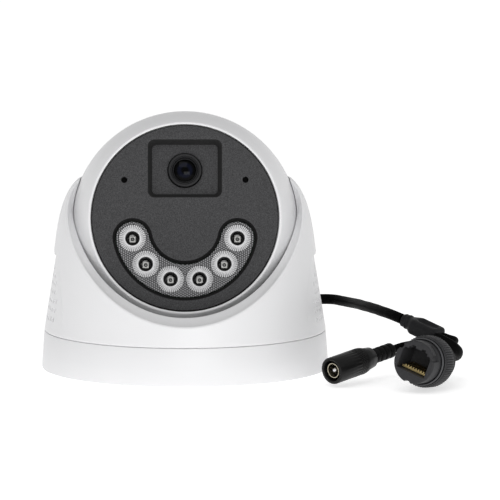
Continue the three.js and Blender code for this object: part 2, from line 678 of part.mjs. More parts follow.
function junction() {
  const plan = new THREE.Shape();
  plan.moveTo(-8.6, -2.6);
  plan.bezierCurveTo(-5, -2.8, -5, -4.6, -1, -4.7);
  plan.lineTo(7.2, -4.7);
  plan.quadraticCurveTo(8.9, -4.7, 8.9, -3);
  plan.lineTo(8.9, 3);
  plan.quadraticCurveTo(8.9, 4.7, 7.2, 4.7);
  plan.lineTo(-1, 4.7);
  plan.bezierCurveTo(-5, 4.6, -5, 2.8, -8.6, 2.6);
  plan.closePath();
  const dimple = turned([[0, 2.4], [3.2, 2.4], [3.6, 4], [0, 4]], 24).scale(1.3, 0.8, 1).translate(2.6, 0, 0);
  return cut(extruded(plan, -3, 3, 6), dimple);
}

const JUNCTION_CENTRE = [89.4, -38, 20.2];
const LAN_CENTRE = [91, -59, 10.35];
const LAN_AXIS = [-0.4226, -0.8999, 0.1096];
const POWER_FRONT = [55.2, -53.7, 5.95];
const POWER_AXIS = [-0.679, -0.7194, -0.1307];

function buildLeads(group) {
  group.add(piece("main_cable", lead(MAIN_ROUTE, CABLE_D, 14), RUBBER));
  group.add(piece("network_lead", lead(LAN_ROUTE, LAN_LEAD_D, 14), RUBBER));
  group.add(piece("power_lead", lead(POWER_ROUTE, POWER_LEAD_D, 14), RUBBER));

  const block = piece("cable_junction", junction(), RUBBER);
  const along = new THREE.Vector3(0.776, -0.551, -0.306).normalize();
  const across = new THREE.Vector3(0, 0, 1).cross(along).normalize();
  const up = along.clone().cross(across);
  block.quaternion.setFromRotationMatrix(new THREE.Matrix4().makeBasis(along, across, up));
  block.position.set(...JUNCTION_CENTRE);
  group.add(block);

  group.add(aimed(LAN_CENTRE, LAN_AXIS, LAN_ROLL, [
    piece("network_socket", lanSocket(), CONNECTOR),
    piece("network_contacts", lanContacts(), BRASS),
    piece("network_lock_ring", knurledRing(), CONNECTOR),
    piece("network_boot", lanBody(), CONNECTOR),
    piece("network_seal", tube(LAN_BARREL_R + 0.25, 9, 4.6, 5.8, 20), SEAL),
  ]));
  group.add(aimed(POWER_FRONT, POWER_AXIS, 0, [
    piece("power_socket", powerSocket(), CONNECTOR),
    piece("power_sleeve", tube(2.55, 2.9, -9.2, -0.9, 16), STEEL),
    piece("power_pin", turned([[0, -9.2], [1, -9.2], [1, -1.8], [0.6, -1.3], [0, -1.2]], 12), STEEL),
    piece("power_strain_relief", powerRelief(), RUBBER),
  ]));
}

// ---- assembly -----------------------------------------------------------------------
const group = new THREE.Group();
buildBase(group);
buildHousing(group);
buildLeads(group);

const ball = new THREE.Group();
ball.position.set(0, 0, BALL_Z);
ball.rotation.x = Math.PI / 2 - FACE_TILT;
buildBall(ball);
ball.add(piece("tilt_yoke", tiltYoke(), STEEL));
group.add(ball);

export default group;
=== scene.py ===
import math

import bmesh
import bpy
import numpy as np
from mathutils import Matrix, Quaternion, Vector


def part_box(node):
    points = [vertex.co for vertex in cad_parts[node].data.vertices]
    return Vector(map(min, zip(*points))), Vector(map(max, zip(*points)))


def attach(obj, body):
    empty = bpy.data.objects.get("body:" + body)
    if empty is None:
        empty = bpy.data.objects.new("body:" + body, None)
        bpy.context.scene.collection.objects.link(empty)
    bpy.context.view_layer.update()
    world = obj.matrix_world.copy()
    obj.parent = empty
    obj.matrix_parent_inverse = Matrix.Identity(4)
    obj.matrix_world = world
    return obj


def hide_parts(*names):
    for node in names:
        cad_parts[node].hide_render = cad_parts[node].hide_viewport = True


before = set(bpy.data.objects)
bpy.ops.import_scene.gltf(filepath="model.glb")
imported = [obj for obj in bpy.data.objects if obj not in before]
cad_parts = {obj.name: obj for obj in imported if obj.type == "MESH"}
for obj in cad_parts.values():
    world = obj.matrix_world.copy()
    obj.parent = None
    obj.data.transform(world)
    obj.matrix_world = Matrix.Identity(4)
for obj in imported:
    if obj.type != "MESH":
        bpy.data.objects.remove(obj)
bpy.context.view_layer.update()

MM = 0.001  # the sizes of new pieces are in millimetres

# ---- Camera -------------------------------------------------------------------------
# A long lens a little above the table, straight in front of the housing and turned a
# touch to the right so that the lead and its sockets stay in view.
VIEW_DISTANCE = 2.5
VIEW_HEIGHT = math.radians(7.3)
VIEW_WIDTH = 0.1923
AIM = Vector((0.025, 0, 0.0452))


def place_camera():
    """Distance and frame width give the focal length; the angle above the table gives the height."""
    lens = bpy.data.cameras.new("camera")
    lens.lens = lens.sensor_width * VIEW_DISTANCE / VIEW_WIDTH
    lens.clip_end = 20
    camera = bpy.data.objects.new("camera", lens)
    bpy.context.scene.collection.objects.link(camera)
    back = -VIEW_DISTANCE * math.cos(VIEW_HEIGHT)
    camera.location = (0, back, AIM.z + VIEW_DISTANCE * math.sin(VIEW_HEIGHT))
    camera.rotation_euler = (AIM - camera.location).to_track_quat("-Z", "Y").to_euler()
    bpy.context.scene.camera = camera


place_camera()


# ---- Lead and its two tails -----------------------------------------------------------
# A round jacketed lead with a soft PVC skin. It leaves the shell through a grommet and
# ends in a moulded junction, from which two short tails return to the sockets.
class Value:
    """A number inside a material. Arithmetic on it adds Math nodes to the same material."""

    def __init__(self, finish, socket):
        self.finish = finish
        self.socket = socket

    def math(self, operation, *others):
        return self.finish.node("ShaderNodeMath", {"operation": operation}, [self, *others])

    def swapped(self, operation, other):
        return self.finish.node("ShaderNodeMath", {"operation": operation}, [other, self])

    def __add__(self, other):
        return self.math("ADD", other)

    def __radd__(self, other):
        return self.swapped("ADD", other)

    def __sub__(self, other):
        return self.math("SUBTRACT", other)

    def __rsub__(self, other):
        return self.swapped("SUBTRACT", other)

    def __mul__(self, other):
        return self.math("MULTIPLY", other)

    def __rmul__(self, other):
        return self.swapped("MULTIPLY", other)

    def __truediv__(self, other):
        return self.math("DIVIDE", other)

    def between(self, low, high):
        """0 below low, 1 above high and a smooth step from one to the other."""
        settings = {"interpolation_type": "SMOOTHSTEP"}
        return self.finish.node("ShaderNodeMapRange", settings, {0: self, 1: low, 2: high})


class Finish:
    """A material with one Principled shader. `node` adds any other node and gives its output."""

    def __init__(self, name, colour, roughness, **sockets):
        self.material = bpy.data.materials.new(name)
        self.material.use_nodes = True
        self.nodes = self.material.node_tree.nodes
        self.shader = self.nodes["Principled BSDF"]
        self.shader.inputs["Base Color"].default_value = (*colour, 1)
        self.shader.inputs["Roughness"].default_value = roughness
        for socket, value in sockets.items():
            self.shader.inputs[socket.replace("_", " ")].default_value = value

    def node(self, kind, settings=None, inputs=None, output=0):
        made = self.nodes.new(kind)
        for key, value in (settings or {}).items():
            setattr(made, key, value)
        pairs = inputs.items() if isinstance(inputs, dict) else enumerate(inputs or [])
        for key, value in pairs:
            self.fill(made.inputs[key], value)
        return Value(self, made.outputs[output])

    def fill(self, socket, value):
        if isinstance(value, Value):
            self.material.node_tree.links.new(value.socket, socket)
        else:
            socket.default_value = value

    def feed(self, socket, value):
        self.fill(self.shader.inputs[socket], value)
        return self

    def place(self):
        return self.node("ShaderNodeTexCoord", output="Object")

    def noise(self, per_metre, detail=2.0):
        """Soft random cloud between 0 and 1, with that many lumps in a metre."""
        sockets = {"Vector": self.place(), "Scale": per_metre, "Detail": detail}
        return self.node("ShaderNodeTexNoise", inputs=sockets)

    def along(self, way):
        """How far the surface lies along a direction from the origin, in metres."""
        settings = {"operation": "DOT_PRODUCT"}
        return self.node("ShaderNodeVectorMath", settings, [self.place(), tuple(way)], output=1)

    def bump(self, height, depth):
        """Raises the surface by height, at most depth metres."""
        sockets = {"Height": height, "Distance": depth, "Strength": 1.0}
        return self.feed("Normal", self.node("ShaderNodeBump", inputs=sockets))

    def mix(self, amount, first, second):
        """The second colour over the first, by an amount from 0 to 1."""
        sockets = {0: amount, 6: (*first, 1), 7: (*second, 1)}
        return self.node("ShaderNodeMix", {"data_type": "RGBA"}, sockets, output=2)


def jacket_finish():
    """Soft black PVC: a fine matte skin, a little dust in its colour and slow dull patches."""
    finish = Finish("cable jacket", (0.003, 0.003, 0.003), 0.5, Specular_IOR_Level=0.02)
    patches = finish.noise(90, 3)
    finish.feed("Base Color", finish.mix(patches, (0.0015, 0.0015, 0.0015), (0.004, 0.004, 0.004)))
    finish.feed("Roughness", 0.42 + 0.16 * patches)
    return finish.bump(finish.noise(2600, 2), 0.00003).material


JACKET = jacket_finish()


def cable(name, route, diameter, node):
    """A round tube of the given diameter along one smooth open curve through the route."""
    line = bpy.data.curves.new(name, "CURVE")
    line.dimensions = "3D"
    line.bevel_depth = diameter / 2
    line.bevel_resolution = 6
    line.resolution_u = 8
    spline = line.splines.new("BEZIER")
    spline.bezier_points.add(len(route) - 1)
    for point, place in zip(spline.bezier_points, route):
        point.co = place
        point.handle_left_type = point.handle_right_type = "AUTO"
    piece = bpy.data.objects.new(name, line)
    bpy.context.scene.collection.objects.link(piece)
    line.materials.append(JACKET)
    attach(piece, "housing")
    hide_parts(node)
    return piece


def line_length(piece):
    """Length of a cord's centreline, from its finely divided curve."""
    bare = piece.data.copy()
    bare.bevel_depth = 0
    probe = bpy.data.objects.new("probe", bare)
    bpy.context.scene.collection.objects.link(probe)
    mesh = probe.to_mesh()
    spots = np.empty(len(mesh.vertices) * 3)
    mesh.vertices.foreach_get("co", spots)
    probe.to_mesh_clear()
    bpy.data.objects.remove(probe)
    bpy.data.curves.remove(bare)
    return float(np.linalg.norm(np.diff(spots.reshape(-1, 3), axis=0), axis=1).sum())


MAIN_ROUTE = [
    (0.04833, 0.0326, 0.0213), (0.053, 0.0347, 0.0214), (0.0577, 0.0332, 0.0215),
    (0.0608, 0.0292, 0.0215), (0.0629, 0.0245, 0.0217), (0.0646, 0.0196, 0.022),
    (0.0659, 0.0147, 0.0224), (0.0671, 0.0097, 0.0228), (0.0682, 0.0047, 0.0231),
    (0.0693, -0.0003, 0.0234), (0.0705, -0.0053, 0.0238), (0.0718, -0.0103, 0.024),
    (0.0733, -0.0152, 0.0242), (0.0749, -0.0201, 0.0242), (0.0768, -0.0249, 0.0242),
    (0.08, -0.0308, 0.0237), (0.08249, -0.0331, 0.02292),
]
LAN_ROUTE = [
    (0.09527, -0.04486, 0.01738), (0.0975, -0.0464, 0.0165), (0.0999, -0.0468, 0.0152),
    (0.1019, -0.0458, 0.0137), (0.1031, -0.0436, 0.0122), (0.1034, -0.0411, 0.0111),
    (0.1033, -0.0384, 0.0101), (0.1031, -0.0357, 0.0093), (0.1024, -0.0331, 0.0086),
    (0.1008, -0.0308, 0.0079), (0.0983, -0.0305, 0.0073), (0.0963, -0.0323, 0.007),
    (0.0962, -0.0351, 0.0071), (0.097, -0.0378, 0.0075), (0.0981, -0.0403, 0.008),
    (0.0986, -0.043, 0.0084), (0.0973, -0.04554, 0.00871),
]
POWER_ROUTE = [
    (0.09781, -0.04128, 0.01738), (0.1003, -0.0421, 0.0166), (0.102, -0.04, 0.0158),
    (0.1022, -0.0371, 0.015), (0.1016, -0.0343, 0.0144), (0.1005, -0.0316, 0.0138),
    (0.0988, -0.0291, 0.0134), (0.0968, -0.0271, 0.013), (0.0943, -0.0254, 0.0126),
    (0.0916, -0.0242, 0.0123), (0.0887, -0.0236, 0.0121), (0.0858, -0.0236, 0.0117),
    (0.083, -0.0246, 0.0113), (0.0808, -0.0265, 0.0109), (0.0788, -0.0287, 0.0105),
]
MAIN_DIAMETER = 0.004
LAN_DIAMETER = 0.004
POWER_DIAMETER = 0.003
main_lead = cable("main_lead", MAIN_ROUTE, MAIN_DIAMETER, "main_cable")
network_tail = cable("network_tail", LAN_ROUTE, LAN_DIAMETER, "network_lead")
power_tail = cable("power_tail", POWER_ROUTE, POWER_DIAMETER, "power_lead")


# ---- Table and lights ---------------------------------------------------------------
# A white sweep under the camera, lit by an even white surround, a broad soft key above and
# a low soft fill in front.
def solid(name, spots, faces, sharp=35, rims=()):
    """A mesh from points in millimetres and faces, shaded smooth up to an edge angle in degrees.

    Each rim is a list of closed loops of point numbers, and the flat face between them is
    filled. Points that fall together are merged and the faces are then turned outwards.
    """
    mesh = bpy.data.meshes.new(name)
    mesh.from_pydata((spots * MM).tolist(), [], faces.tolist())
    shape = bmesh.new()
    shape.from_mesh(mesh)
    shape.verts.ensure_lookup_table()
    for rim in rims:
        pairs = [pair for loop in rim for pair in zip(loop.tolist(), np.roll(loop, -1).tolist())]
        edges = [shape.edges.get((shape.verts[a], shape.verts[b])) for a, b in pairs]
        bmesh.ops.triangle_fill(shape, edges=edges, use_beauty=True)
    bmesh.ops.remove_doubles(shape, verts=shape.verts, dist=2e-7)
    bmesh.ops.recalc_face_normals(shape, faces=shape.faces)
    shape.to_mesh(mesh)
    shape.free()
    mesh.polygons.foreach_set("use_smooth", np.ones(len(mesh.polygons), bool))
    mesh.set_sharp_from_angle(angle=math.radians(sharp))
    piece = bpy.data.objects.new(name, mesh)
    bpy.context.scene.collection.objects.link(piece)
    return piece


def skin(name, spots, along=True, around=True, sharp=35):
    """A mesh over a grid of points: rows close into a loop if along, columns if around.

    Each face joins a grid point with the next one in its row, its column and across.
    """
    index = np.arange(spots.shape[0] * spots.shape[1]).reshape(spots.shape[:2])
    if along:
        index = np.vstack([index, index[:1]])
    if around:
        index = np.hstack([index, index[:, :1]])
    faces = np.stack([index[:-1, :-1], index[1:, :-1], index[1:, 1:], index[:-1, 1:]], -1)
    return solid(name, spots.reshape(-1, 3), faces.reshape(-1, 4), sharp)


def table():
    """A flat sheet under the object that bends up behind it on a quarter circle."""
    bend = np.linspace(0, math.pi / 2, 14)
    run = np.concatenate([np.linspace(-3400, 2900, 12), 3000 + 1200 * np.sin(bend)])
    rise = np.concatenate([np.zeros(12), 1200 - 1200 * np.cos(bend)])
    across = np.linspace(-3400, 3400, 9)
    grid = np.broadcast_arrays(across[None, :], run[:, None], rise[:, None] - 0.3)
    sweep = skin("table", np.stack(grid, -1), along=False, around=False)
    paper = Finish("white sweep", (0.93, 0.93, 0.93), 0.85, Emission_Strength=0.56)
    paper.feed("Emission Color", (1, 1, 1, 1))
    paper.bump(paper.noise(400, 2), 0.00005)
    sweep.data.materials.append(paper.material)


def soft_light(name, place, size, power):
    """A soft rectangle of light that faces the middle of the object."""
    lamp = bpy.data.lights.new(name, "AREA")
    lamp.shape = "RECTANGLE"
    lamp.size, lamp.size_y = size
    lamp.energy = power
    light = bpy.data.objects.new(name, lamp)
    bpy.context.scene.collection.objects.link(light)
    light.location = place
    aim = Vector((0, 0, 0.05)) - light.location
    light.rotation_euler = aim.to_track_quat("-Z", "Y").to_euler()


def light_tent():
    soft_light("key", (-0.15, -0.75, 0.9), (0.7, 0.5), 2.0)
    soft_light("front_fill", (0.25, -1.6, 0.24), (0.8, 0.4), 5.2)
    world = bpy.data.worlds.new("tent")
    world.use_nodes = True
    world.node_tree.nodes["Background"].inputs["Color"].default_value = (1, 1, 1, 1)
    world.node_tree.nodes["Background"].inputs["Strength"].default_value = 0.48
    bpy.context.scene.world = world
    bpy.context.scene.view_settings.view_transform = "Standard"


table()
light_tent()


# ---- Mounting base ------------------------------------------------------------------
# The round foot that is screwed to the ceiling: one satin white moulding, a shade wider
# at its foot, with a raised hub for the housing and three screw holes through its floor.
def white_finish():
    """Satin white moulding: faint slow shade changes, a fine spark grain and a soft sheen."""
    finish = Finish("white moulding", (0.8, 0.8, 0.81), 0.4, Specular_IOR_Level=0.45)
    cloud = finish.noise(14, 3)
    finish.feed("Base Color", finish.mix(cloud, (0.79, 0.79, 0.8), (0.83, 0.83, 0.838)))
    finish.feed("Roughness", 0.34 + 0.1 * finish.noise(60, 4))
    grain = finish.noise(5200, 2) + 0.5 * finish.noise(1900, 1)
    return finish.bump(grain, 0.000008).material


WHITE = white_finish()


def circle(radius, columns, centre=(0, 0)):
    """Points round a circle, as rows of x and y."""
    turn = np.arange(columns) * 2 * math.pi / columns
    return np.stack([centre[0] + radius * np.cos(turn), centre[1] + radius * np.sin(turn)], -1)


def rows(*loops):
    """A wall from pairs of one flat outline (n, 2) and its height."""
    return np.stack([np.column_stack([loop, np.full(len(loop), height)]) for loop, height in loops])


def eased(corners, steps=5):
    """Corners (radius, height, fillet) to a closed outline with rounded corners.

    Each corner becomes a quadratic arc that starts and ends a fillet's length from it, along
    the edges to its two neighbours, and never past the middle of an edge.
    """
    spots = np.array([corner[:2] for corner in corners], float)
    fillet = np.array([corner[2] if len(corner) > 2 else 0 for corner in corners], float)

    def reach(step):
        length = np.maximum(np.linalg.norm(step, axis=1), 1e-9)
        return spots + step * (np.minimum(fillet, 0.49 * length) / length)[:, None]

    start = reach(np.roll(spots, 1, 0) - spots)
    end = reach(np.roll(spots, -1, 0) - spots)
    t = np.linspace(0, 1, steps)[None, :, None]
    arcs = (1 - t) ** 2 * start[:, None] + 2 * t * (1 - t) * spots[:, None] + t**2 * end[:, None]
    return arcs.reshape(-1, 2)


def spun(outline, columns=96):
    """An outline of radius and height turned about Z: rows follow it, columns go round."""
    turn = np.arange(columns) * 2 * math.pi / columns
    radius = outline[:, :1]
    height = np.broadcast_to(outline[:, 1:], (len(outline), columns))
    return np.stack([radius * np.cos(turn), radius * np.sin(turn), height], -1)


def pierced(name, walls, caps, sharp=35):
    """Walls that are closed round their columns, joined by flat faces.

    Each cap is a list of (wall, row): the flat face between those rows is filled.
    """
    faces, numbers, count = [], [], 0
    for wall in walls:
        index = count + np.arange(wall.shape[0] * wall.shape[1]).reshape(wall.shape[:2])
        beside = np.roll(index, -1, 1)
        faces.append(np.stack([index[:-1], index[1:], beside[1:], beside[:-1]], -1).reshape(-1, 4))
        numbers.append(index)
        count += index.size
    spots = np.concatenate([wall.reshape(-1, 3) for wall in walls])
    rims = [[numbers[wall][row] for wall, row in cap] for cap in caps]
    return solid(name, spots, np.concatenate(faces), sharp, rims)


def fit(piece, body, slot, material, *nodes):
    """Gives a piece its finish and its body, and hides the CAD nodes that it stands for."""
    piece.data.materials.append(material)
    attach(piece, body)
    if nodes:
        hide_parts(*nodes)
    return piece


FOOT_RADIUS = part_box("mounting_base")[1].x / MM
BASE_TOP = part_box("mounting_base")[1].z / MM
SHELL_FOOT_RADIUS = FOOT_RADIUS - 0.95
MOUNT_HOLE_RADIUS = 2.4
MOUNT_CIRCLE_RADIUS = 37


def base_ring():
    deck, hub, bore, hub_top = 2.5, 16, 12, 7.7
    outside = [
        (FOOT_RADIUS - 0.8, 0), (FOOT_RADIUS - 0.25, 0.12), (FOOT_RADIUS, 0.6),
        (FOOT_RADIUS - 0.45, BASE_TOP / 2), (SHELL_FOOT_RADIUS, BASE_TOP - 0.5),
        (SHELL_FOOT_RADIUS - 0.15, BASE_TOP - 0.12), (SHELL_FOOT_RADIUS - 0.5, BASE_TOP),
        (SHELL_FOOT_RADIUS - 2.6, BASE_TOP), (SHELL_FOOT_RADIUS - 2.6, deck),
    ]
    walls = [spun(np.array(outside), 240)]
    walls.append(spun(np.array([(hub, deck), (hub, hub_top), (bore, hub_top), (bore, deck)]), 96))
    for turn in (math.pi / 2, 7 * math.pi / 6, 11 * math.pi / 6):
        centre = (MOUNT_CIRCLE_RADIUS * math.cos(turn), MOUNT_CIRCLE_RADIUS * math.sin(turn))
        hole = circle(MOUNT_HOLE_RADIUS, 40, centre)
        walls.append(rows((circle(MOUNT_HOLE_RADIUS + 0.3, 40, centre), 0), (hole, 0.3), (hole, deck)))
    underside = [(0, 0)] + [(hole, 0) for hole in (2, 3, 4)]
    floor = [(0, -1), (1, 0)] + [(hole, -1) for hole in (2, 3, 4)]
    return pierced("base_ring", walls, [underside, floor, [(1, -1)]])


fit(base_ring(), "base", "white_plastic", WHITE, "mounting_base")


# ---- Housing shell ------------------------------------------------------------------
# The upper moulding: a gently tapered wall, a visor sliced at 45 degrees with a narrow round
# rim and a dished band round the ball, a hood behind, and a perforated panel at each side.
BALL_HEIGHT = 55
SHELL_FOOT = BASE_TOP + 0.18
HOOD_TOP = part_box("upper_shell")[1].z / MM
BALL_SPACE = 43.95
VISOR_RIM, VISOR_LIP = 20.6, 14.1
RIM_WIDTH, RIM_DROP, RIM_SIDE = 0.6, 0.25, 0.45
PANEL_TOP_DEPTH = 1.1
PANEL_TOP = 45
HOLE_ROWS = {20.6: 11, 24.1: 11, 27.5: 11, 30.8: 9, 33.9: 9, 36.8: 7, 39.3: 5}
HOLE_PITCH = math.radians(3.75)
HOLE_FLOOR_RADIUS, HOLE_RADIUS, HOLE_DEPTH = 0.6, 0.8, 1.2
HOLE_WALL_RADIUS = 51
DEEPEST_PRESS = 1.85


def bezier(corners, steps):
    """Points on a cubic curve through its first and last corner."""
    a, b, c, d = np.array(corners, float)
    t = np.linspace(0, 1, steps)[:, None]
    return (1 - t) ** 3 * a + 3 * t * (1 - t) ** 2 * b + 3 * t**2 * (1 - t) * c + t**3 * d


SHOULDER = bezier([(49.9, 49), (48.7, 58.3), (46.8, 68.1), (41, HOOD_TOP)], 60)
WALL_LINE = np.vstack([[(SHELL_FOOT_RADIUS, SHELL_FOOT)], SHOULDER])


def wall_radius(height):
    return np.interp(height, WALL_LINE[:, 1], WALL_LINE[:, 0])


def rim_radius(ahead):
    """Where the 45 degree visor plane leaves the wall, found by stepping halfway to it."""
    radius = np.full_like(ahead, SHELL_FOOT_RADIUS)
    for _ in range(40):
        radius += 0.5 * (wall_radius(BALL_HEIGHT + VISOR_RIM - radius * ahead) - radius)
    return radius


def ball_space(height):
    """Radius of the opening round the ball: a well below its centre, a sphere above it."""
    above = np.clip(height - BALL_HEIGHT, 0, BALL_SPACE)
    return np.sqrt(BALL_SPACE**2 - above**2)


def arch():
    """Outline of a side panel, as its distance from the panel's middle and its height."""
    return np.vstack([
        bezier([(27.5, 13.9), (26, 24), (19, 40), (13, 43.5)], 30),
        bezier([(13, 43.5), (8, PANEL_TOP), (-8, PANEL_TOP), (-13, 43.5)], 21)[1:11],
    ])


def step(low, high, value):
    """0 below low, 1 above high, with a smooth step between."""
    share = np.clip((value - low) / (high - low), 0, 1)
    return share**2 * (3 - 2 * share)


def panel_press(turn, height):
    """How deep a point of the wall is pressed in by a side panel and its blind holes.

    The panel deepens in a straight line from its foot to its top, inside the arch, and each
    hole is a dimple with a flat floor. turn is the angle from the panel's middle.
    """
    line = arch()
    aside = np.abs(wall_radius(height) * np.sin(turn))
    gap = np.min(np.hypot(aside[..., None] - line[:, 0], height[..., None] - line[:, 1]), -1)
    inside = aside < np.interp(height, line[:, 1], line[:, 0])
    edge = step(-0.35, 0.35, np.where(inside, gap, -gap))
    depth = edge * PANEL_TOP_DEPTH * (height - SHELL_FOOT) / (PANEL_TOP - SHELL_FOOT)
    for level, count in HOLE_ROWS.items():
        column = np.round(turn / HOLE_PITCH)
        off = np.hypot((turn - column * HOLE_PITCH) * HOLE_WALL_RADIUS, height - level)
        hole = step(-HOLE_RADIUS, -HOLE_FLOOR_RADIUS, -off) * (np.abs(column) <= (count - 1) / 2)
        depth = depth + HOLE_DEPTH * hole
    return np.minimum(depth, DEEPEST_PRESS)


def shell_columns():
    """Angles from straight ahead: fine round the side panels and coarse between them."""
    spans = [(0, 55, 37), (55, 69.6, 24), (69.6, 110.4, 131), (110.4, 125, 24), (125, 180, 37)]
    half = np.concatenate([np.linspace(low, high, count, endpoint=False) for low, high, count in spans])
    return np.radians(np.concatenate([half, [180], 360 - half[:0:-1]]))


def housing_shell():
    """Section loop by angle: up the outside, over the rim, down the band, round the lip and back."""
    turn = shell_columns()
    ahead = np.cos(turn)
    edge = rim_radius(ahead)
    top = np.minimum(HOOD_TOP, BALL_HEIGHT + VISOR_RIM - edge * ahead)
    heights = np.concatenate([
        [SHELL_FOOT + 0.3], np.arange(15.6, 17, 0.5), np.arange(17, 38, 0.3),
        np.arange(38, 46, 0.5), np.arange(46, HOOD_TOP, 1.1),
    ])
    height = np.minimum(heights[:, None], top - RIM_SIDE)
    from_panel = np.abs(np.mod(turn, math.pi) - math.pi / 2)
    pressed = panel_press(*np.broadcast_arrays(from_panel[None, :], height))
    wall = np.stack([wall_radius(height) - pressed, height], -1)

    def on_visor(radius, level):
        high = np.minimum(HOOD_TOP, BALL_HEIGHT + level - radius * ahead)
        return np.stack([np.maximum(radius, ball_space(high)), high], -1)

    def arc(start, corner, end, steps):
        t = np.linspace(0, 1, steps)[:, None, None]
        return (1 - t) ** 2 * start + 2 * t * (1 - t) * corner + t**2 * end

    rim = np.stack([edge, top], -1)
    band = on_visor(edge - RIM_WIDTH, VISOR_RIM - RIM_DROP)
    lip_radius = np.minimum(43.9, edge - 1.2)
    lip = on_visor(lip_radius, VISOR_LIP)
    t = np.linspace(0, 1, 16)[1:-1, None] ** 1.4
    drop = (VISOR_LIP - VISOR_RIM + RIM_DROP) * t**0.6
    dish_radius = edge - RIM_WIDTH + t * (lip_radius - edge + RIM_WIDTH)
    dished = on_visor(dish_radius, VISOR_RIM - RIM_DROP + drop)
    low = np.minimum(lip[:, 1] - 2.6, BALL_HEIGHT + 4.6)
    down = np.linspace(0, 1, 9)[:, None]
    throat_height = lip[:, 1] - 0.5 + down * (low - lip[:, 1] + 0.5)
    throat = np.stack([ball_space(throat_height), throat_height], -1)
    under_height = np.minimum(BALL_HEIGHT + 4.6, top - 1.6)
    inside_height = np.linspace(0, 1, 8)[:, None] * (SHELL_FOOT - under_height) + under_height
    thickness = np.interp(inside_height, [40, 50], [2.2, 1.4])
    inside = np.stack([wall_radius(inside_height) - thickness, inside_height], -1)
    lip_turn = arc(dished[-1], lip, throat[0], 5)[1:-1]
    foot = np.broadcast_to([SHELL_FOOT_RADIUS - 0.3, SHELL_FOOT], rim.shape)[None]
    rim_turn = arc(wall[-1], rim, band, 9)[1:]
    section = np.concatenate([foot, wall, rim_turn, dished, lip_turn, throat, inside])
    radius = section[..., 0]
    spots = np.stack([radius * np.sin(turn), -radius * ahead, section[..., 1]], -1)
    return skin("housing_shell", spots, sharp=50)


fit(housing_shell(), "housing", "white_plastic", WHITE, "upper_shell")


# ---- Ball -----------------------------------------------------------------------------
# Two white shells that clip together behind the face. The front one ends in a thin lip
# that stands a little proud round the black face. The ball's own Z comes out of the face.
FACE_TILT = math.radians(13.5)
BALL_RADIUS = 43.7
BALL_SPLIT = 4
FACE_LIP = 23.6
FACE_FRONT = 23.5
FACE_BACK = 21.5
FACE_RADIUS = 35.7


def in_ball(spots):
    """Points of the ball's frame moved into the model: X across, Y up the face, Z out of it."""
    axes = np.array([
        [1, 0, 0],
        [0, math.sin(FACE_TILT), math.cos(FACE_TILT)],
        [0, -math.cos(FACE_TILT), math.sin(FACE_TILT)],
    ])
    return spots @ axes + [0, 0, BALL_HEIGHT]


def ball_way(x, y, z):
    """A direction of the ball's frame, turned into the model."""
    return in_ball(np.array([x, y, z])) - in_ball(np.zeros(3))


def meridian(radius, start, end, count):
    """Points of a circle about the ball's centre, between two heights."""
    turn = np.linspace(math.asin(start / radius), math.asin(end / radius), count)
    return [(radius * math.cos(a), radius * math.sin(a)) for a in turn]


def ball_front():
    mouth = FACE_RADIUS + 0.3
    lip = math.sqrt(BALL_RADIUS**2 - FACE_LIP**2)
    outline = meridian(BALL_RADIUS, BALL_SPLIT, FACE_LIP - 0.7, 40)
    outline += [(lip, FACE_LIP, 0.6), (mouth, FACE_LIP, 0.15), (mouth, 21.2), (33.9, 21.2), (33.9, 19.6)]
    outline += meridian(BALL_RADIUS - 2, 19.6, BALL_SPLIT, 12)
    return skin("ball_front", in_ball(spun(eased(outline, 4), 240)), sharp=50)


def ball_rear():
    bore = 5.3
    outline = meridian(BALL_RADIUS, -math.sqrt(BALL_RADIUS**2 - bore**2), BALL_SPLIT - 0.3, 60)
    inner = BALL_RADIUS - 2
    outline += meridian(inner, BALL_SPLIT - 0.3, -math.sqrt(inner**2 - bore**2), 30)
    return skin("ball_rear", in_ball(spun(np.array(outline), 160)), sharp=50)


fit(ball_front(), "eyeball", "white_plastic", WHITE, "ball_front_shell")
fit(ball_rear(), "eyeball", "white_plastic", WHITE, "ball_rear_shell")


# ---- Face cover ---------------------------------------------------------------------
# A flat black disc, spark eroded to a fine sandy grain. A drafted rectangular pocket holds
# the lens, a bent slot holds the light window, and two pinholes lead to the microphones.
LENS_UP = 18.6
POCKET_UP = 19.0
POCKET_WIDTH, POCKET_HEIGHT, POCKET_DEPTH = 27.8, 21.8, 3.8
BARREL_RADIUS = 6.4
ARC_UP = -3.65
ARC_RADIUS = 20.4
LIGHT_STEP = math.radians(31.5)
LIGHTS = [(number - 2.5) * LIGHT_STEP for number in range(6)]
SLOT_HALF_WIDTH = 6.6
MIC_ASIDE, MIC_UP = 23.1, 14.6


def face_finish():
    """Charcoal moulding with a sandy eroded grain: pale specks on a dark ground."""
    finish = Finish("face black", (0.06, 0.06, 0.062), 0.7, Specular_IOR_Level=0.1)
    specks = finish.noise(2600, 3)
    fine = finish.noise(4200, 2)
    amount = (0.6 * specks + 0.4 * fine).between(0.36, 0.66)
    finish.feed("Base Color", finish.mix(amount, (0.04, 0.04, 0.041), (0.082, 0.082, 0.085)))
    finish.feed("Roughness", 0.58 + 0.2 * fine)
    return finish.bump(specks + 0.7 * fine, 0.00007).material


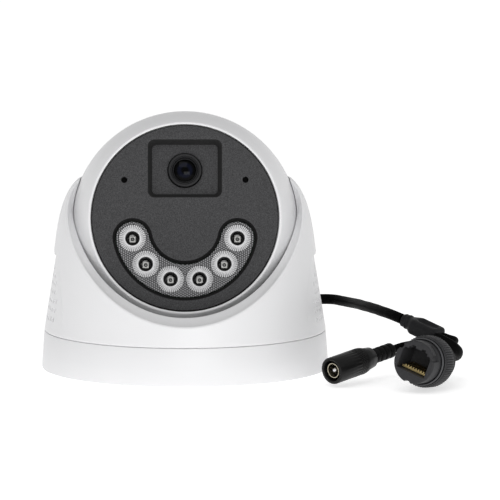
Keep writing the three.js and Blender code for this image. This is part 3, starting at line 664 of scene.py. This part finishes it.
def slot_outline(half_width, count=60):
    """The bent slot: an arc outside, an arc inside and a half circle round each end light."""
    end = LIGHTS[-1]
    turn = np.linspace(-end, end, count)
    wide, narrow = ARC_RADIUS + half_width, ARC_RADIUS - half_width
    outer = [wide * np.sin(turn), -wide * np.cos(turn)]
    inner = [narrow * np.sin(turn[::-1]), -narrow * np.cos(turn[::-1])]
    cap = np.linspace(0, math.pi, 32)[1:-1]

    def around(light, start):
        centre = (ARC_RADIUS * math.sin(light), -ARC_RADIUS * math.cos(light))
        return [centre[0] + half_width * np.cos(start + cap), centre[1] + half_width * np.sin(start + cap)]

    ends = around(end, end - math.pi / 2), around(-end, math.pi / 2 - end)
    x, y = np.hstack([outer, ends[0], inner, ends[1]])
    return np.stack([x, y + ARC_UP], -1)


def pocket_outline(width, height, radius, count=10):
    """A rectangle with round corners about the pocket's middle, with points along its sides."""
    corner = np.linspace(0, math.pi / 2, count)
    pieces = []
    for quarter, (side_x, side_y) in enumerate([(1, 1), (-1, 1), (-1, -1), (1, -1)]):
        turn = corner + quarter * math.pi / 2
        pieces.append(np.stack([
            side_x * (width / 2 - radius) + radius * np.cos(turn),
            side_y * (height / 2 - radius) + radius * np.sin(turn),
        ], -1))
    sides = []
    for here, after in zip(pieces, pieces[1:] + pieces[:1]):
        share = np.linspace(0, 1, count + 2)[1:-1, None]
        sides.append(here[-1] + share * (after[0] - here[-1]))
    outline = np.vstack([spots for pair in zip(pieces, sides) for spots in pair])
    return outline + [0, POCKET_UP]


def face_cover():
    """A pierced disc. Walls that leave its face get the second finish, the pocket's the third; both are
    painted shade, darker than the face.
    """
    front, back = FACE_FRONT, FACE_BACK
    floor = front - POCKET_DEPTH
    rim = circle(1, 240)
    outer = rows((rim * (FACE_RADIUS - 0.35), front), (rim * (FACE_RADIUS - 0.1), front - 0.1),
                 (rim * FACE_RADIUS, front - 0.35), (rim * FACE_RADIUS, back))
    slot = rows(
        (slot_outline(SLOT_HALF_WIDTH + 1.0), front), (slot_outline(SLOT_HALF_WIDTH + 0.85), front - 0.1),
        (slot_outline(SLOT_HALF_WIDTH), front - 1.0), (slot_outline(SLOT_HALF_WIDTH), back),
    )
    mouth = pocket_outline(POCKET_WIDTH, POCKET_HEIGHT, 2.4)
    away = pocket_outline(25, 19, 1.6) - [0, LENS_UP]
    ring = away / np.linalg.norm(away, axis=1, keepdims=True) * (BARREL_RADIUS + 0.35) + [0, LENS_UP]
    behind = pocket_outline(POCKET_WIDTH + 2.6, POCKET_HEIGHT + 2.6, 3)
    pocket = rows(
        (pocket_outline(POCKET_WIDTH + 0.5, POCKET_HEIGHT + 0.5, 2.6), front), (mouth, front - 0.22),
        (pocket_outline(25.6, 19.6, 1.8), floor + 0.4), (pocket_outline(25, 19, 1.6), floor),
        (ring, floor), (ring, floor - 1.5), (behind, floor - 1.5), (behind, back),
    )
    mics = [
        rows((circle(1.2, 32, (side * MIC_ASIDE, MIC_UP)), front),
             (circle(1.1, 32, (side * MIC_ASIDE, MIC_UP)), front - 0.15),
             (circle(1.1, 32, (side * MIC_ASIDE, MIC_UP)), back))
        for side in (-1, 1)
    ]
    walls = [in_ball(wall) for wall in (outer, slot, pocket, *mics)]
    caps = [[(wall, row) for wall in range(5)] for row in (0, -1)]
    piece = pierced("face_disc", walls, caps)
    normals = np.empty(len(piece.data.polygons) * 3)
    piece.data.polygons.foreach_get("normal", normals)
    centres = np.empty_like(normals)
    piece.data.polygons.foreach_get("center", centres)
    away = centres.reshape(-1, 3) / MM - [0, 0, BALL_HEIGHT]
    in_pocket = (away @ ball_way(0, 1, 0) > 7) & (np.abs(away[:, 0]) < POCKET_WIDTH / 2 + 1)
    kind = np.where(in_pocket, 2, 1)
    kind[normals.reshape(-1, 3) @ ball_way(0, 0, 1) > 0.98] = 0
    piece.data.polygons.foreach_set("material_index", kind.astype(np.int32))
    return piece


def wall_shade_finish(name, dark, light):
    """Painted shade for a wall that drops behind the face: deep black, with a faint fine grain."""
    finish = Finish(name, (light, light, light), 0.6, Specular_IOR_Level=0.08)
    cloud = finish.noise(1200, 2)
    finish.feed("Base Color", finish.mix(cloud, (dark, dark, dark), (light, light, light)))
    return finish.bump(cloud, 0.00001).material


disc = fit(face_cover(), "eyeball", "face_black", face_finish(), "face_cover")
# painted shade: the walls that drop behind the face are coloured darker than the face itself
disc.data.materials.append(wall_shade_finish("slot wall painted shade", 0.006, 0.012))
disc.data.materials.append(wall_shade_finish("pocket wall painted shade", 0.016, 0.03))


# ---- Light window and ring lights -----------------------------------------------------
# A clear bent window, grained behind with tiny hexagonal prisms. Six fluted ring optics
# stand in it, and down the middle of each a black cup holds a square emitter with its dome.
PRISM_PITCH = 0.0009
OPTIC_RADIUS = 5.25
FLUTES = 40


def window_finish():
    """Tinted prism plate: three crossed waves in the face's plane give hexagonal bumps, and painted shade
    darkens the hollows between them and lightens their tops.
    """
    finish = Finish("prism window", (0.1, 0.1, 0.105), 0.3, Specular_IOR_Level=0.4)
    waves = []
    for turn in (0, math.pi / 3, 2 * math.pi / 3):
        along = finish.along(ball_way(math.cos(turn), math.sin(turn), 0))
        waves.append((along * (4 * math.pi / math.sqrt(3) / PRISM_PITCH)).math("COSINE"))
    prisms = (waves[0] + waves[1] + waves[2] + 1.5) / 4.5
    # painted shade: dark in the prisms' hollows, light on their tops
    shade = prisms.between(0.1, 0.6)
    finish.feed("Base Color", finish.mix(shade, (0.015, 0.015, 0.016), (0.27, 0.27, 0.28)))
    return finish.bump(prisms, 0.00009).material


def optic_finish(place):
    """Clear fluted moulding: radial spokes of painted flute shade that fade in towards its edge, and a
    painted highlight round the collar.

    The painted spokes are a wave of the angle round the optic's middle, which place gives.
    """
    finish = Finish("ring optic", (0.5, 0.5, 0.51), 0.3, Specular_IOR_Level=0.5)
    middle = in_ball(np.array([*place, 0]))
    sides = []
    for axis in (ball_way(1, 0, 0), ball_way(0, 1, 0)):
        sides.append(finish.along(axis) - float(middle @ axis) * MM)
    radius = (sides[0] * sides[0] + sides[1] * sides[1]).math("SQRT")
    # painted shade of the flutes: light and dark spokes round the optic
    flute_shade_spoke = (sides[0].math("ARCTAN2", sides[1]) * FLUTES).math("COSINE")
    outer = radius.between(0.0033, 0.0046)
    milky = 0.55 + 0.25 * finish.noise(700, 2)
    # painted highlight: a bright ring round the collar
    collar = radius.between(0.0028, 0.003) - radius.between(0.0031, 0.0034)
    shade = milky + 0.35 * flute_shade_spoke * outer + 0.3 * collar
    finish.feed("Base Color", finish.mix(shade, (0.02, 0.02, 0.021), (0.85, 0.85, 0.86)))
    return finish.bump(finish.noise(3500, 1), 0.00002).material


def plain_finish(name, colour, roughness, scale=900, depth=0.00001, **sockets):
    """A moulded or plated finish: small drifts of shade and gloss over a fine grain."""
    finish = Finish(name, colour, roughness, **sockets)
    cloud = finish.noise(scale, 3)
    dark, light = (tuple(share * part for part in colour) for share in (0.8, 1.2))
    finish.feed("Base Color", finish.mix(cloud, dark, light))
    finish.feed("Roughness", roughness * 0.8 + roughness * 0.4 * cloud)
    return finish.bump(finish.noise(scale * 3, 2), depth).material


def light_window():
    """The bent plate with a round hole for each ring light."""
    top, low = FACE_FRONT - 0.9, FACE_BACK - 0.3
    edge = SLOT_HALF_WIDTH - 0.3
    outside = slot_outline(edge)
    walls = [rows((slot_outline(edge - 0.2), top), (outside, top - 0.2), (outside, low))]
    for x, y in light_places():
        hole = circle(OPTIC_RADIUS + 0.05, 96, (x, y))
        walls.append(rows((hole, top), (hole, low)))
    caps = [[(wall, row) for wall in range(7)] for row in (0, -1)]
    return pierced("prism_window", [in_ball(wall) for wall in walls], caps)


def light_places():
    return [(ARC_RADIUS * math.sin(turn), ARC_UP - ARC_RADIUS * math.cos(turn)) for turn in LIGHTS]


def ring_optic(name, place):
    """A turned ring whose sloping face is fluted: its height gains a wave round the ring."""
    outline = eased([
        (5.15, 20.6), (OPTIC_RADIUS, 22.1, 0.2), (5.1, 22.65, 0.15), (4.75, 22.6), (4.3, 22.3), (3.9, 22.1),
        (3.5, 22.0), (3.2, 21.95), (3.05, 22.2, 0.1), (2.85, 22.2, 0.1), (2.75, 21.9), (2.75, 21),
        (3.2, 20.6),
    ], 3)
    ring = spun(outline, FLUTES * 6)
    wave = np.cos(np.arange(FLUTES * 6) * 2 * math.pi / 6)
    share = step(3.3, 4.2, outline[:, 0]) * step(20.8, 22, outline[:, 1])
    ring[..., 2] += 0.26 * (wave[None, :] - 1) * share[:, None]
    return skin(name, in_ball(ring + [*place, 0]), sharp=60)


def light_cup(name, place):
    """A black cup below the ring, with a stepped wall."""
    outline = eased([
        (0, 15.4), (3.1, 15.4), (3.1, 17), (2.7, 18.5), (2.7, 20.9), (2.5, 20.9), (2.45, 19, 0.2),
        (2.2, 18.6, 0.2), (2.1, 16.7, 0.3), (0, 16.7),
    ], 3)
    return skin(name, in_ball(spun(outline, 64) + [*place, 0]), along=False)


def emitter(name, place):
    """A square body that turns into a round dome, ring by ring. The dome gets the second finish."""
    turn = np.arange(64) * 2 * math.pi / 64
    square = 1 / np.maximum(np.abs(np.cos(turn)), np.abs(np.sin(turn)))
    square = np.minimum(square, 1.3)
    levels = [(0, 16.9, 1), (1.15, 16.9, 1), (1.2, 18.2, 1), (1.12, 18.32, 1)]
    levels += [(0.75, 18.32, 0.3), (0.72, 18.2, 0)]
    levels += [(0.7 * math.cos(a), 18.2 + 0.5 * math.sin(a), 0) for a in np.linspace(0, math.pi / 2, 8)]
    grid = []
    for size, height, squareness in levels:
        radius = size * (squareness * square + 1 - squareness)
        grid.append(np.stack([radius * np.cos(turn), radius * np.sin(turn), np.full(64, height)], -1))
    piece = skin(name, in_ball(np.array(grid) + [*place, 0]), along=False)
    middle = in_ball(np.array([*place, 0]))
    centres = np.empty(len(piece.data.polygons) * 3)
    piece.data.polygons.foreach_get("center", centres)
    away = centres.reshape(-1, 3) / MM - middle
    out = ball_way(0, 0, 1)
    aside = np.linalg.norm(away - (away @ out)[:, None] * out, axis=1)
    piece.data.polygons.foreach_set("material_index", (aside < 0.73).astype(np.int32))
    return piece


CUP = plain_finish("emitter cup", (0.012, 0.012, 0.013), 0.16, Coat_Weight=0.5)
PAD = plain_finish("emitter pad", (0.62, 0.62, 0.6), 0.35, Metallic=0.2)
DOME = plain_finish("emitter dome", (0.12, 0.12, 0.12), 0.12, Coat_Weight=1.0)
fit(light_window(), "eyeball", "window_tint", window_finish(), "led_window")
for number, place in enumerate(light_places(), 1):
    optic = ring_optic(f"ring_optic_{number}", place)
    fit(optic, "eyeball", "optic_clear", optic_finish(place), f"led_optic_{number}")
    fit(light_cup(f"light_cup_{number}", place), "eyeball", "inner_black", CUP)
    chip = fit(emitter(f"emitter_{number}", place), "eyeball", "chip_dark", PAD, f"led_chip_{number}")
    chip.data.materials.append(DOME)


# ---- Lens -------------------------------------------------------------------------------
# A black screw-in barrel with a grooved rim and a stepped mouth, closed by a domed and
# coated front glass.
def barrel():
    lip = FACE_FRONT - POCKET_DEPTH + 1.8
    outline = eased([
        (0, 6), (5.4, 6), (5.4, 16), (BARREL_RADIUS, 16), (BARREL_RADIUS, lip, 0.35), (5.5, lip, 0.12),
        (5.35, lip - 0.25, 0.1), (5.2, lip - 0.05, 0.1), (4.95, lip - 0.05, 0.1), (4.8, lip - 0.7, 0.1),
        (4.45, lip - 1.3, 0.1), (0, lip - 1.9),
    ], 4)
    return skin("barrel", in_ball(spun(outline, 120) + [0, LENS_UP, 0]), along=False)


def front_glass():
    """A shallow dome: its height falls with the square of the radius."""
    back = FACE_FRONT - POCKET_DEPTH + 0.2
    radius = np.linspace(0, 4.45, 24)
    dome = np.stack([radius, back + 1.3 - 1.1 * (radius / 4.45) ** 2], -1)
    outline = np.vstack([dome, [(4.45, back), (0, back)]])
    return skin("front_glass", in_ball(spun(outline, 96) + [0, LENS_UP, 0]), along=False, sharp=30)


def glass_finish():
    """Nearly black glass with a faint blue ring between its middle and its edge: a painted reflection of
    the coating.
    """
    finish = Finish("coated glass", (0.004, 0.005, 0.01), 0.05, Specular_IOR_Level=0.06)
    centre = Vector(in_ball(np.array([0, LENS_UP, 20.9])) * MM)
    settings = {"operation": "DISTANCE"}
    away = finish.node("ShaderNodeVectorMath", settings, [finish.place(), centre], output=1)
    # painted reflection: a faint blue ring on the glass
    ring = away.between(0.0010, 0.0019) - away.between(0.0024, 0.0034)
    finish.feed("Base Color", finish.mix(ring, (0.001, 0.001, 0.001), (0.004, 0.005, 0.012)))
    return finish.material


BARREL = plain_finish("lens barrel", (0.01, 0.01, 0.011), 0.45, Specular_IOR_Level=0.25)
fit(barrel(), "eyeball", "inner_black", BARREL, "lens_barrel")
fit(front_glass(), "eyeball", "lens_glass", glass_finish(), "lens_glass")


# ---- Grommet and junction -----------------------------------------------------------------
# The lead leaves the shell through a soft grommet. A moulded flat block with an oval thumb
# recess joins it to the two tails.
GROMMET_TURN = math.radians(34)
GROMMET_HEIGHT = 21.3
RUBBER = plain_finish("soft rubber", (0.006, 0.006, 0.006), 0.5, 700, 0.00003, Specular_IOR_Level=0.1)
JUNCTION = plain_finish(
    "junction rubber", (0.013, 0.013, 0.014), 0.42, 1200, 0.00003, Specular_IOR_Level=0.1,
)


def grommet():
    outline = eased([
        (2.25, 49), (3.4, 49, 0.2), (3.4, 54.4, 0.1), (4.6, 54.4, 0.3), (4.6, 55.3, 0.4), (3.5, 55.5, 0.3),
        (3.2, 58, 0.5), (2.25, 58, 0.2),
    ])
    tube = spun(outline, 64)
    out, across, up = tube[..., 2], tube[..., 0], tube[..., 1]
    x = out * math.cos(GROMMET_TURN) - across * math.sin(GROMMET_TURN)
    y = out * math.sin(GROMMET_TURN) + across * math.cos(GROMMET_TURN)
    return skin("exit_grommet", np.stack([x, y, up + GROMMET_HEIGHT], -1))


def junction():
    """A loft along its length: a squarish oval section that swells from collar to block.

    Half width and half height follow the length, both ends close on a quarter ellipse, and
    the top is pressed in over an oval.
    """
    along = np.array([0.776, -0.551, -0.306])
    along /= np.linalg.norm(along)
    across = np.cross([0, 0, 1], along)
    across /= np.linalg.norm(across)
    axes = np.array([along, across, np.cross(along, across)])
    start, end = -8.6, 8.9
    near_cap, far_cap = 0.9, 1.7
    x = np.sort(np.concatenate([
        np.linspace(start, end, 70),
        start + near_cap * (1 - np.cos(np.linspace(0, 1.5, 8))),
        end - far_cap * (1 - np.cos(np.linspace(0, 1.5, 12))),
    ]))[:, None]
    near = np.sqrt(1 - np.clip((start + near_cap - x) / near_cap, 0, 1) ** 2)
    far = np.sqrt(1 - np.clip((x - end + far_cap) / far_cap, 0, 1) ** 2)
    swell = step(-5.4, -1.6, x)
    collar = 0.25 * (step(-6.4, -6.1, x) - step(-5.4, -5.1, x))
    half_width = (2.7 + 2.0 * swell + collar) * near * (0.45 + 0.55 * far) * np.where(x >= end, 0, 1)
    half_height = (2.5 + 0.5 * swell + collar) * near * far
    turn = np.arange(72)[None, :] * 2 * math.pi / 72
    power = 2 / (2.4 + 2.2 * swell)
    y = half_width * np.sign(np.cos(turn)) * np.abs(np.cos(turn)) ** power
    z = half_height * np.sign(np.sin(turn)) * np.abs(np.sin(turn)) ** power
    oval = np.hypot((x - 2.6) / 4.9, y / 2.9)
    z = z - 1.0 * step(-1.0, -0.78, -oval) * (z > 0)
    spots = np.stack(np.broadcast_arrays(x, y, z), -1)
    return skin("lead_junction", spots @ axes + [89.4, -38, 20.2], along=False, sharp=55)


fit(grommet(), "housing", "rubber_black", RUBBER, "cable_grommet")
fit(junction(), "housing", "rubber_black", JUNCTION, "cable_junction")


# ---- Network socket -------------------------------------------------------------------
# A waterproof socket: a barrel with bayonet slots and a stepped mouth, a loose knurled
# ring behind a rubber seal, and a tapered boot. Its Z comes out of the mouth.
SOCKET_CENTRE = np.array([91, -59, 10.35])
SOCKET_WAY = Vector((-0.4226, -0.8999, 0.1096))
SOCKET_ROLL = math.radians(-45)
SOCKET_RADIUS = 8.15
SOCKET_FRONT = 12.7
RING_RADIUS, RING_HALF, RING_FLUTES = 9.8, 4.2, 64


def aimed(spots, centre, way, roll=0):
    """Points of a frame whose Z runs along a direction, rolled about it, moved into the model."""
    turn = Vector((0, 0, 1)).rotation_difference(way) @ Quaternion((0, 0, 1), roll)
    return spots @ np.array(turn.to_matrix()).T + centre


def in_socket(spots):
    return aimed(spots, SOCKET_CENTRE, SOCKET_WAY, SOCKET_ROLL)


def socket_barrel():
    """The outside is turned, and three hooked slots are pressed into it."""
    heights = np.concatenate([np.arange(12.3, 4.4, -0.25), [4.2, 0, -4.5]])
    turn = np.arange(192) * 2 * math.pi / 192
    front = np.array([(7.55, SOCKET_FRONT), (7.85, SOCKET_FRONT - 0.05), (8.1, SOCKET_FRONT - 0.25)])
    outline = np.vstack([front, np.column_stack([np.full(len(heights), SOCKET_RADIUS), heights]),
                         [(9.2, -4.5), (9.2, -4.9), (8, -4.9)]])
    wall = spun(outline, 192)
    after = np.mod(turn - math.radians(20), 2 * math.pi / 3)[None, :]
    height = wall[..., 2]
    straight = step(-0.16, -0.12, -np.abs(after - 0.2)) * step(7.4, 7.8, height)
    hook = step(0.04, 0.1, after) * step(-0.92, -0.86, -after)
    hook = hook * step(7.2, 7.6, height) * step(-9.4, -9.0, -height)
    keep = 1 - 0.11 * np.maximum(straight, hook)
    keep = np.where(height < 5, 1, keep)
    wall[..., :2] *= keep[..., None]
    half = [
        (5.9, -4.1), (5.9, 4.1), (3.9, 4.1), (3.9, 5.0),
        (2.9, 5.0), (2.9, 5.8), (1.2, 5.8), (1.2, 5.1),
    ]
    mouth = np.array(half + [(-x, y) for x, y in half[::-1]])
    wider = mouth + 0.15 * np.sign(mouth - [0, 0.8])
    hole = rows((wider, SOCKET_FRONT), (mouth, SOCKET_FRONT - 0.2), (mouth, 0.7))
    caps = [[(0, 0), (1, 0)], [(0, -1)], [(1, -1)]]
    return pierced("socket_barrel", [in_socket(wall), in_socket(hole)], caps)


def lock_ring():
    """A turned ring whose outside gains a wave round it between two plain edges."""
    outline = eased([
        (SOCKET_RADIUS + 0.3, -RING_HALF, 0.2), (RING_RADIUS - 0.5, -RING_HALF, 0.3),
        (RING_RADIUS - 0.4, -3.4, 0.1), (RING_RADIUS, -3.2, 0.15), (RING_RADIUS, 3.2, 0.15),
        (RING_RADIUS - 0.4, 3.4, 0.1), (RING_RADIUS - 0.5, RING_HALF, 0.3),
        (SOCKET_RADIUS + 0.8, RING_HALF, 0.2), (SOCKET_RADIUS + 0.7, 3.3, 0.2),
        (SOCKET_RADIUS + 0.3, 3.2, 0.2),
    ], 4)
    ring = spun(outline, RING_FLUTES * 6)
    wave = np.abs(np.sin(np.arange(RING_FLUTES * 6) * math.pi / 6)) - 1
    knurl = step(RING_RADIUS - 0.3, RING_RADIUS - 0.1, outline[:, 0])[:, None] * wave[None, :] * 0.42
    ring[..., :2] *= (1 + knurl / RING_RADIUS)[..., None]
    return skin("knurled_ring", in_socket(ring), sharp=50)


def socket_boot():
    outline = eased([
        (0, -14.6), (3.4, -14.6, 0.3), (4.4, -12.4, 0.6), (6.8, -11, 0.5), (7.5, -10.2, 0.5),
        (7.5, -7.4, 0.1), (7.2, -7.2, 0.1), (7.2, -6.6, 0.1), (7.5, -6.4, 0.1), (7.5, -5.2, 0.2), (0, -5.2),
    ])
    return skin("socket_boot", in_socket(spun(outline, 96)), along=False)


def socket_seal():
    """An o-ring: a small circle turned round the barrel."""
    turn = np.linspace(0, 2 * math.pi, 16, endpoint=False)
    outline = np.stack([8.7 + 0.3 * np.cos(turn), 5.2 + 0.6 * np.sin(turn)], -1)
    return skin("socket_seal", in_socket(spun(outline, 96)))


def contact_bed():
    """Eight thin springs standing in a row on a thin bed: a comb profile carried inwards."""
    comb = [(-5.3, -3.75), (-5.3, -2.95)]
    for number in range(8):
        middle = (number - 3.5) * 1.1
        comb += [(middle - 0.25, -2.95), (middle - 0.2, -1.8), (middle + 0.2, -1.8), (middle + 0.25, -2.95)]
    comb = np.array(comb + [(5.3, -2.95), (5.3, -3.75)])
    low = np.column_stack([comb[:, 0], np.where(comb[:, 1] > -2.5, -2.4, comb[:, 1])])
    wall = rows((comb, 1.4), (comb, 5), (low, 8), (low, 9.2))
    return pierced("contact_comb", [in_socket(wall)], [[(0, 0)], [(0, -1)]])


CONNECTOR = plain_finish(
    "connector plastic", (0.04, 0.04, 0.042), 0.42, 1200, 0.00003, Specular_IOR_Level=0.06,
)
BRASS = plain_finish("contact brass", (0.55, 0.43, 0.2), 0.3, Metallic=1.0)
STEEL = plain_finish("bright steel", (0.62, 0.62, 0.64), 0.25, Metallic=1.0)
SEAL = plain_finish("grey seal", (0.06, 0.06, 0.065), 0.6)
socket_pieces = [
    fit(socket_barrel(), "housing", "connector_black", CONNECTOR, "network_socket"),
    fit(lock_ring(), "lock_ring", "connector_black", CONNECTOR, "network_lock_ring"),
    fit(socket_boot(), "housing", "connector_black", RUBBER, "network_boot"),
    fit(socket_seal(), "housing", "seal_grey", SEAL, "network_seal"),
    fit(contact_bed(), "housing", "contact_metal", BRASS, "network_contacts"),
]


# ---- Power socket ---------------------------------------------------------------------
# A barrel jack: a satin black body with a cross-cut grip band, a ribbed relief on its tail,
# a plated sleeve and a bright centre pin. Its Z comes out of the mouth.
POWER_FRONT = np.array([55.2, -53.7, 5.95])
POWER_WAY = Vector((-0.679, -0.7194, -0.1307))
GRIP_DIAMONDS = 26


def in_power(spots):
    return aimed(spots, POWER_FRONT, POWER_WAY)


def power_body():
    """Turned, with a band where two crossing waves raise small diamonds."""
    grip = [(5.15, height) for height in np.arange(-15.5, -11.9, 0.2)]
    outline = np.array([
        (0, -22), (3.9, -22), (4.0, -21.9), (4.4, -19), (5, -17), (5.1, -16.2), *grip, (5.15, -8),
        (5.15, -0.5), (5.05, -0.15), (4.8, 0), (4.15, 0), (3.95, -0.2), (3.9, -0.5), (3.9, -9.5), (0, -9.5),
    ])
    body = spun(outline, GRIP_DIAMONDS * 7)
    turn = np.arange(GRIP_DIAMONDS * 7) * 2 * math.pi / 7
    from_band = outline[:, 1:] + 13.7
    slant = from_band * 5.2
    band = step(1.75, 1.65, np.abs(from_band))
    cuts = np.maximum(np.cos(turn + slant), np.cos(turn - slant))
    body[..., :2] *= (1 - band * 0.035 * step(0.3, 0.95, cuts))[..., None]
    return skin("jack_body", in_power(body), along=False, sharp=40)


def power_relief():
    """A tapered tail with four round ribs."""
    outline = [(0, -34.4, 0), (2.1, -34.4, 0.3)]
    for rib in range(4):
        low = -33.8 + rib * 2.8
        outline += [(2.9, low, 0.3), (2.9, low + 1.8, 0.3), (2.3, low + 2, 0.1), (2.3, low + 2.6, 0.1)]
    outline += [(3.2, -22.3, 0.2), (0, -22.3, 0)]
    return skin("jack_relief", in_power(spun(eased(outline, 4), 64)), along=False)


def power_sleeve():
    outline = eased([(2.55, -9.2), (2.9, -9.2), (2.9, -0.9, 0.12), (2.55, -0.9, 0.12)])
    return skin("jack_sleeve", in_power(spun(outline, 64)))


def power_pin():
    outline = eased([(0, -9.2), (1, -9.2), (1, -1.9, 0.5), (0.55, -1.25, 0.3), (0, -1.2)])
    return skin("jack_pin", in_power(spun(outline, 48)), along=False)


JACK = plain_finish("jack black", (0.006, 0.006, 0.006), 0.34, 1500, 0.00002, Specular_IOR_Level=0.2)
PLATED = plain_finish("plated sleeve", (0.5, 0.46, 0.36), 0.3, Metallic=1.0)
power_pieces = [
    fit(power_body(), "housing", "connector_black", JACK, "power_socket"),
    fit(power_relief(), "housing", "rubber_black", RUBBER, "power_strain_relief"),
    fit(power_sleeve(), "housing", "steel", PLATED, "power_sleeve"),
    fit(power_pin(), "housing", "steel", STEEL, "power_pin"),
]

line_length(main_lead)
line_length(network_tail)
line_length(power_tail)


# ---- Works inside ---------------------------------------------------------------------
# Boards, yoke, fasteners and the other hidden parts keep their own shapes: green laminate,
# plated steel, black moulding and rubber.
def board_finish():
    """Green solder mask with a fine cloudy grain from the laminate below it."""
    finish = Finish("green board", (0.01, 0.1, 0.035), 0.35, Coat_Weight=0.4)
    grain = finish.noise(1400, 2)
    finish.feed("Base Color", finish.mix(grain, (0.006, 0.07, 0.025), (0.02, 0.14, 0.05)))
    return finish.bump(grain, 0.00002).material


BOARD = board_finish()
INNER = plain_finish("inner black", (0.02, 0.02, 0.021), 0.5)
PORT = plain_finish("microphone port", (0.005, 0.005, 0.005), 0.6, Specular_IOR_Level=0.05)
SCREWS = [f"lock_ring_screw_{number}" for number in (1, 2, 3)]
SCREWS += [f"floor_screw_{number}" for number in (1, 2, 3, 4)]
WORKS = {
    WHITE: ["housing_floor", "roll_pivot"],
    SEAL: ["pan_friction_washer", "ball_seal"],
    STEEL: ["pan_lock_ring", "tilt_yoke", "pivot_clip", "heat_sink", *SCREWS],
    BOARD: ["interface_board", "led_board", "sensor_board", "main_board"],
    INNER: ["ethernet_transformer", "speaker_driver", "lens_holder", "image_sensor"],
    PORT: ["microphone_left", "microphone_right"],
}
for material, nodes in WORKS.items():
    for node in nodes:
        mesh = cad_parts[node].data
        mesh.materials.clear()
        mesh.materials.append(material)
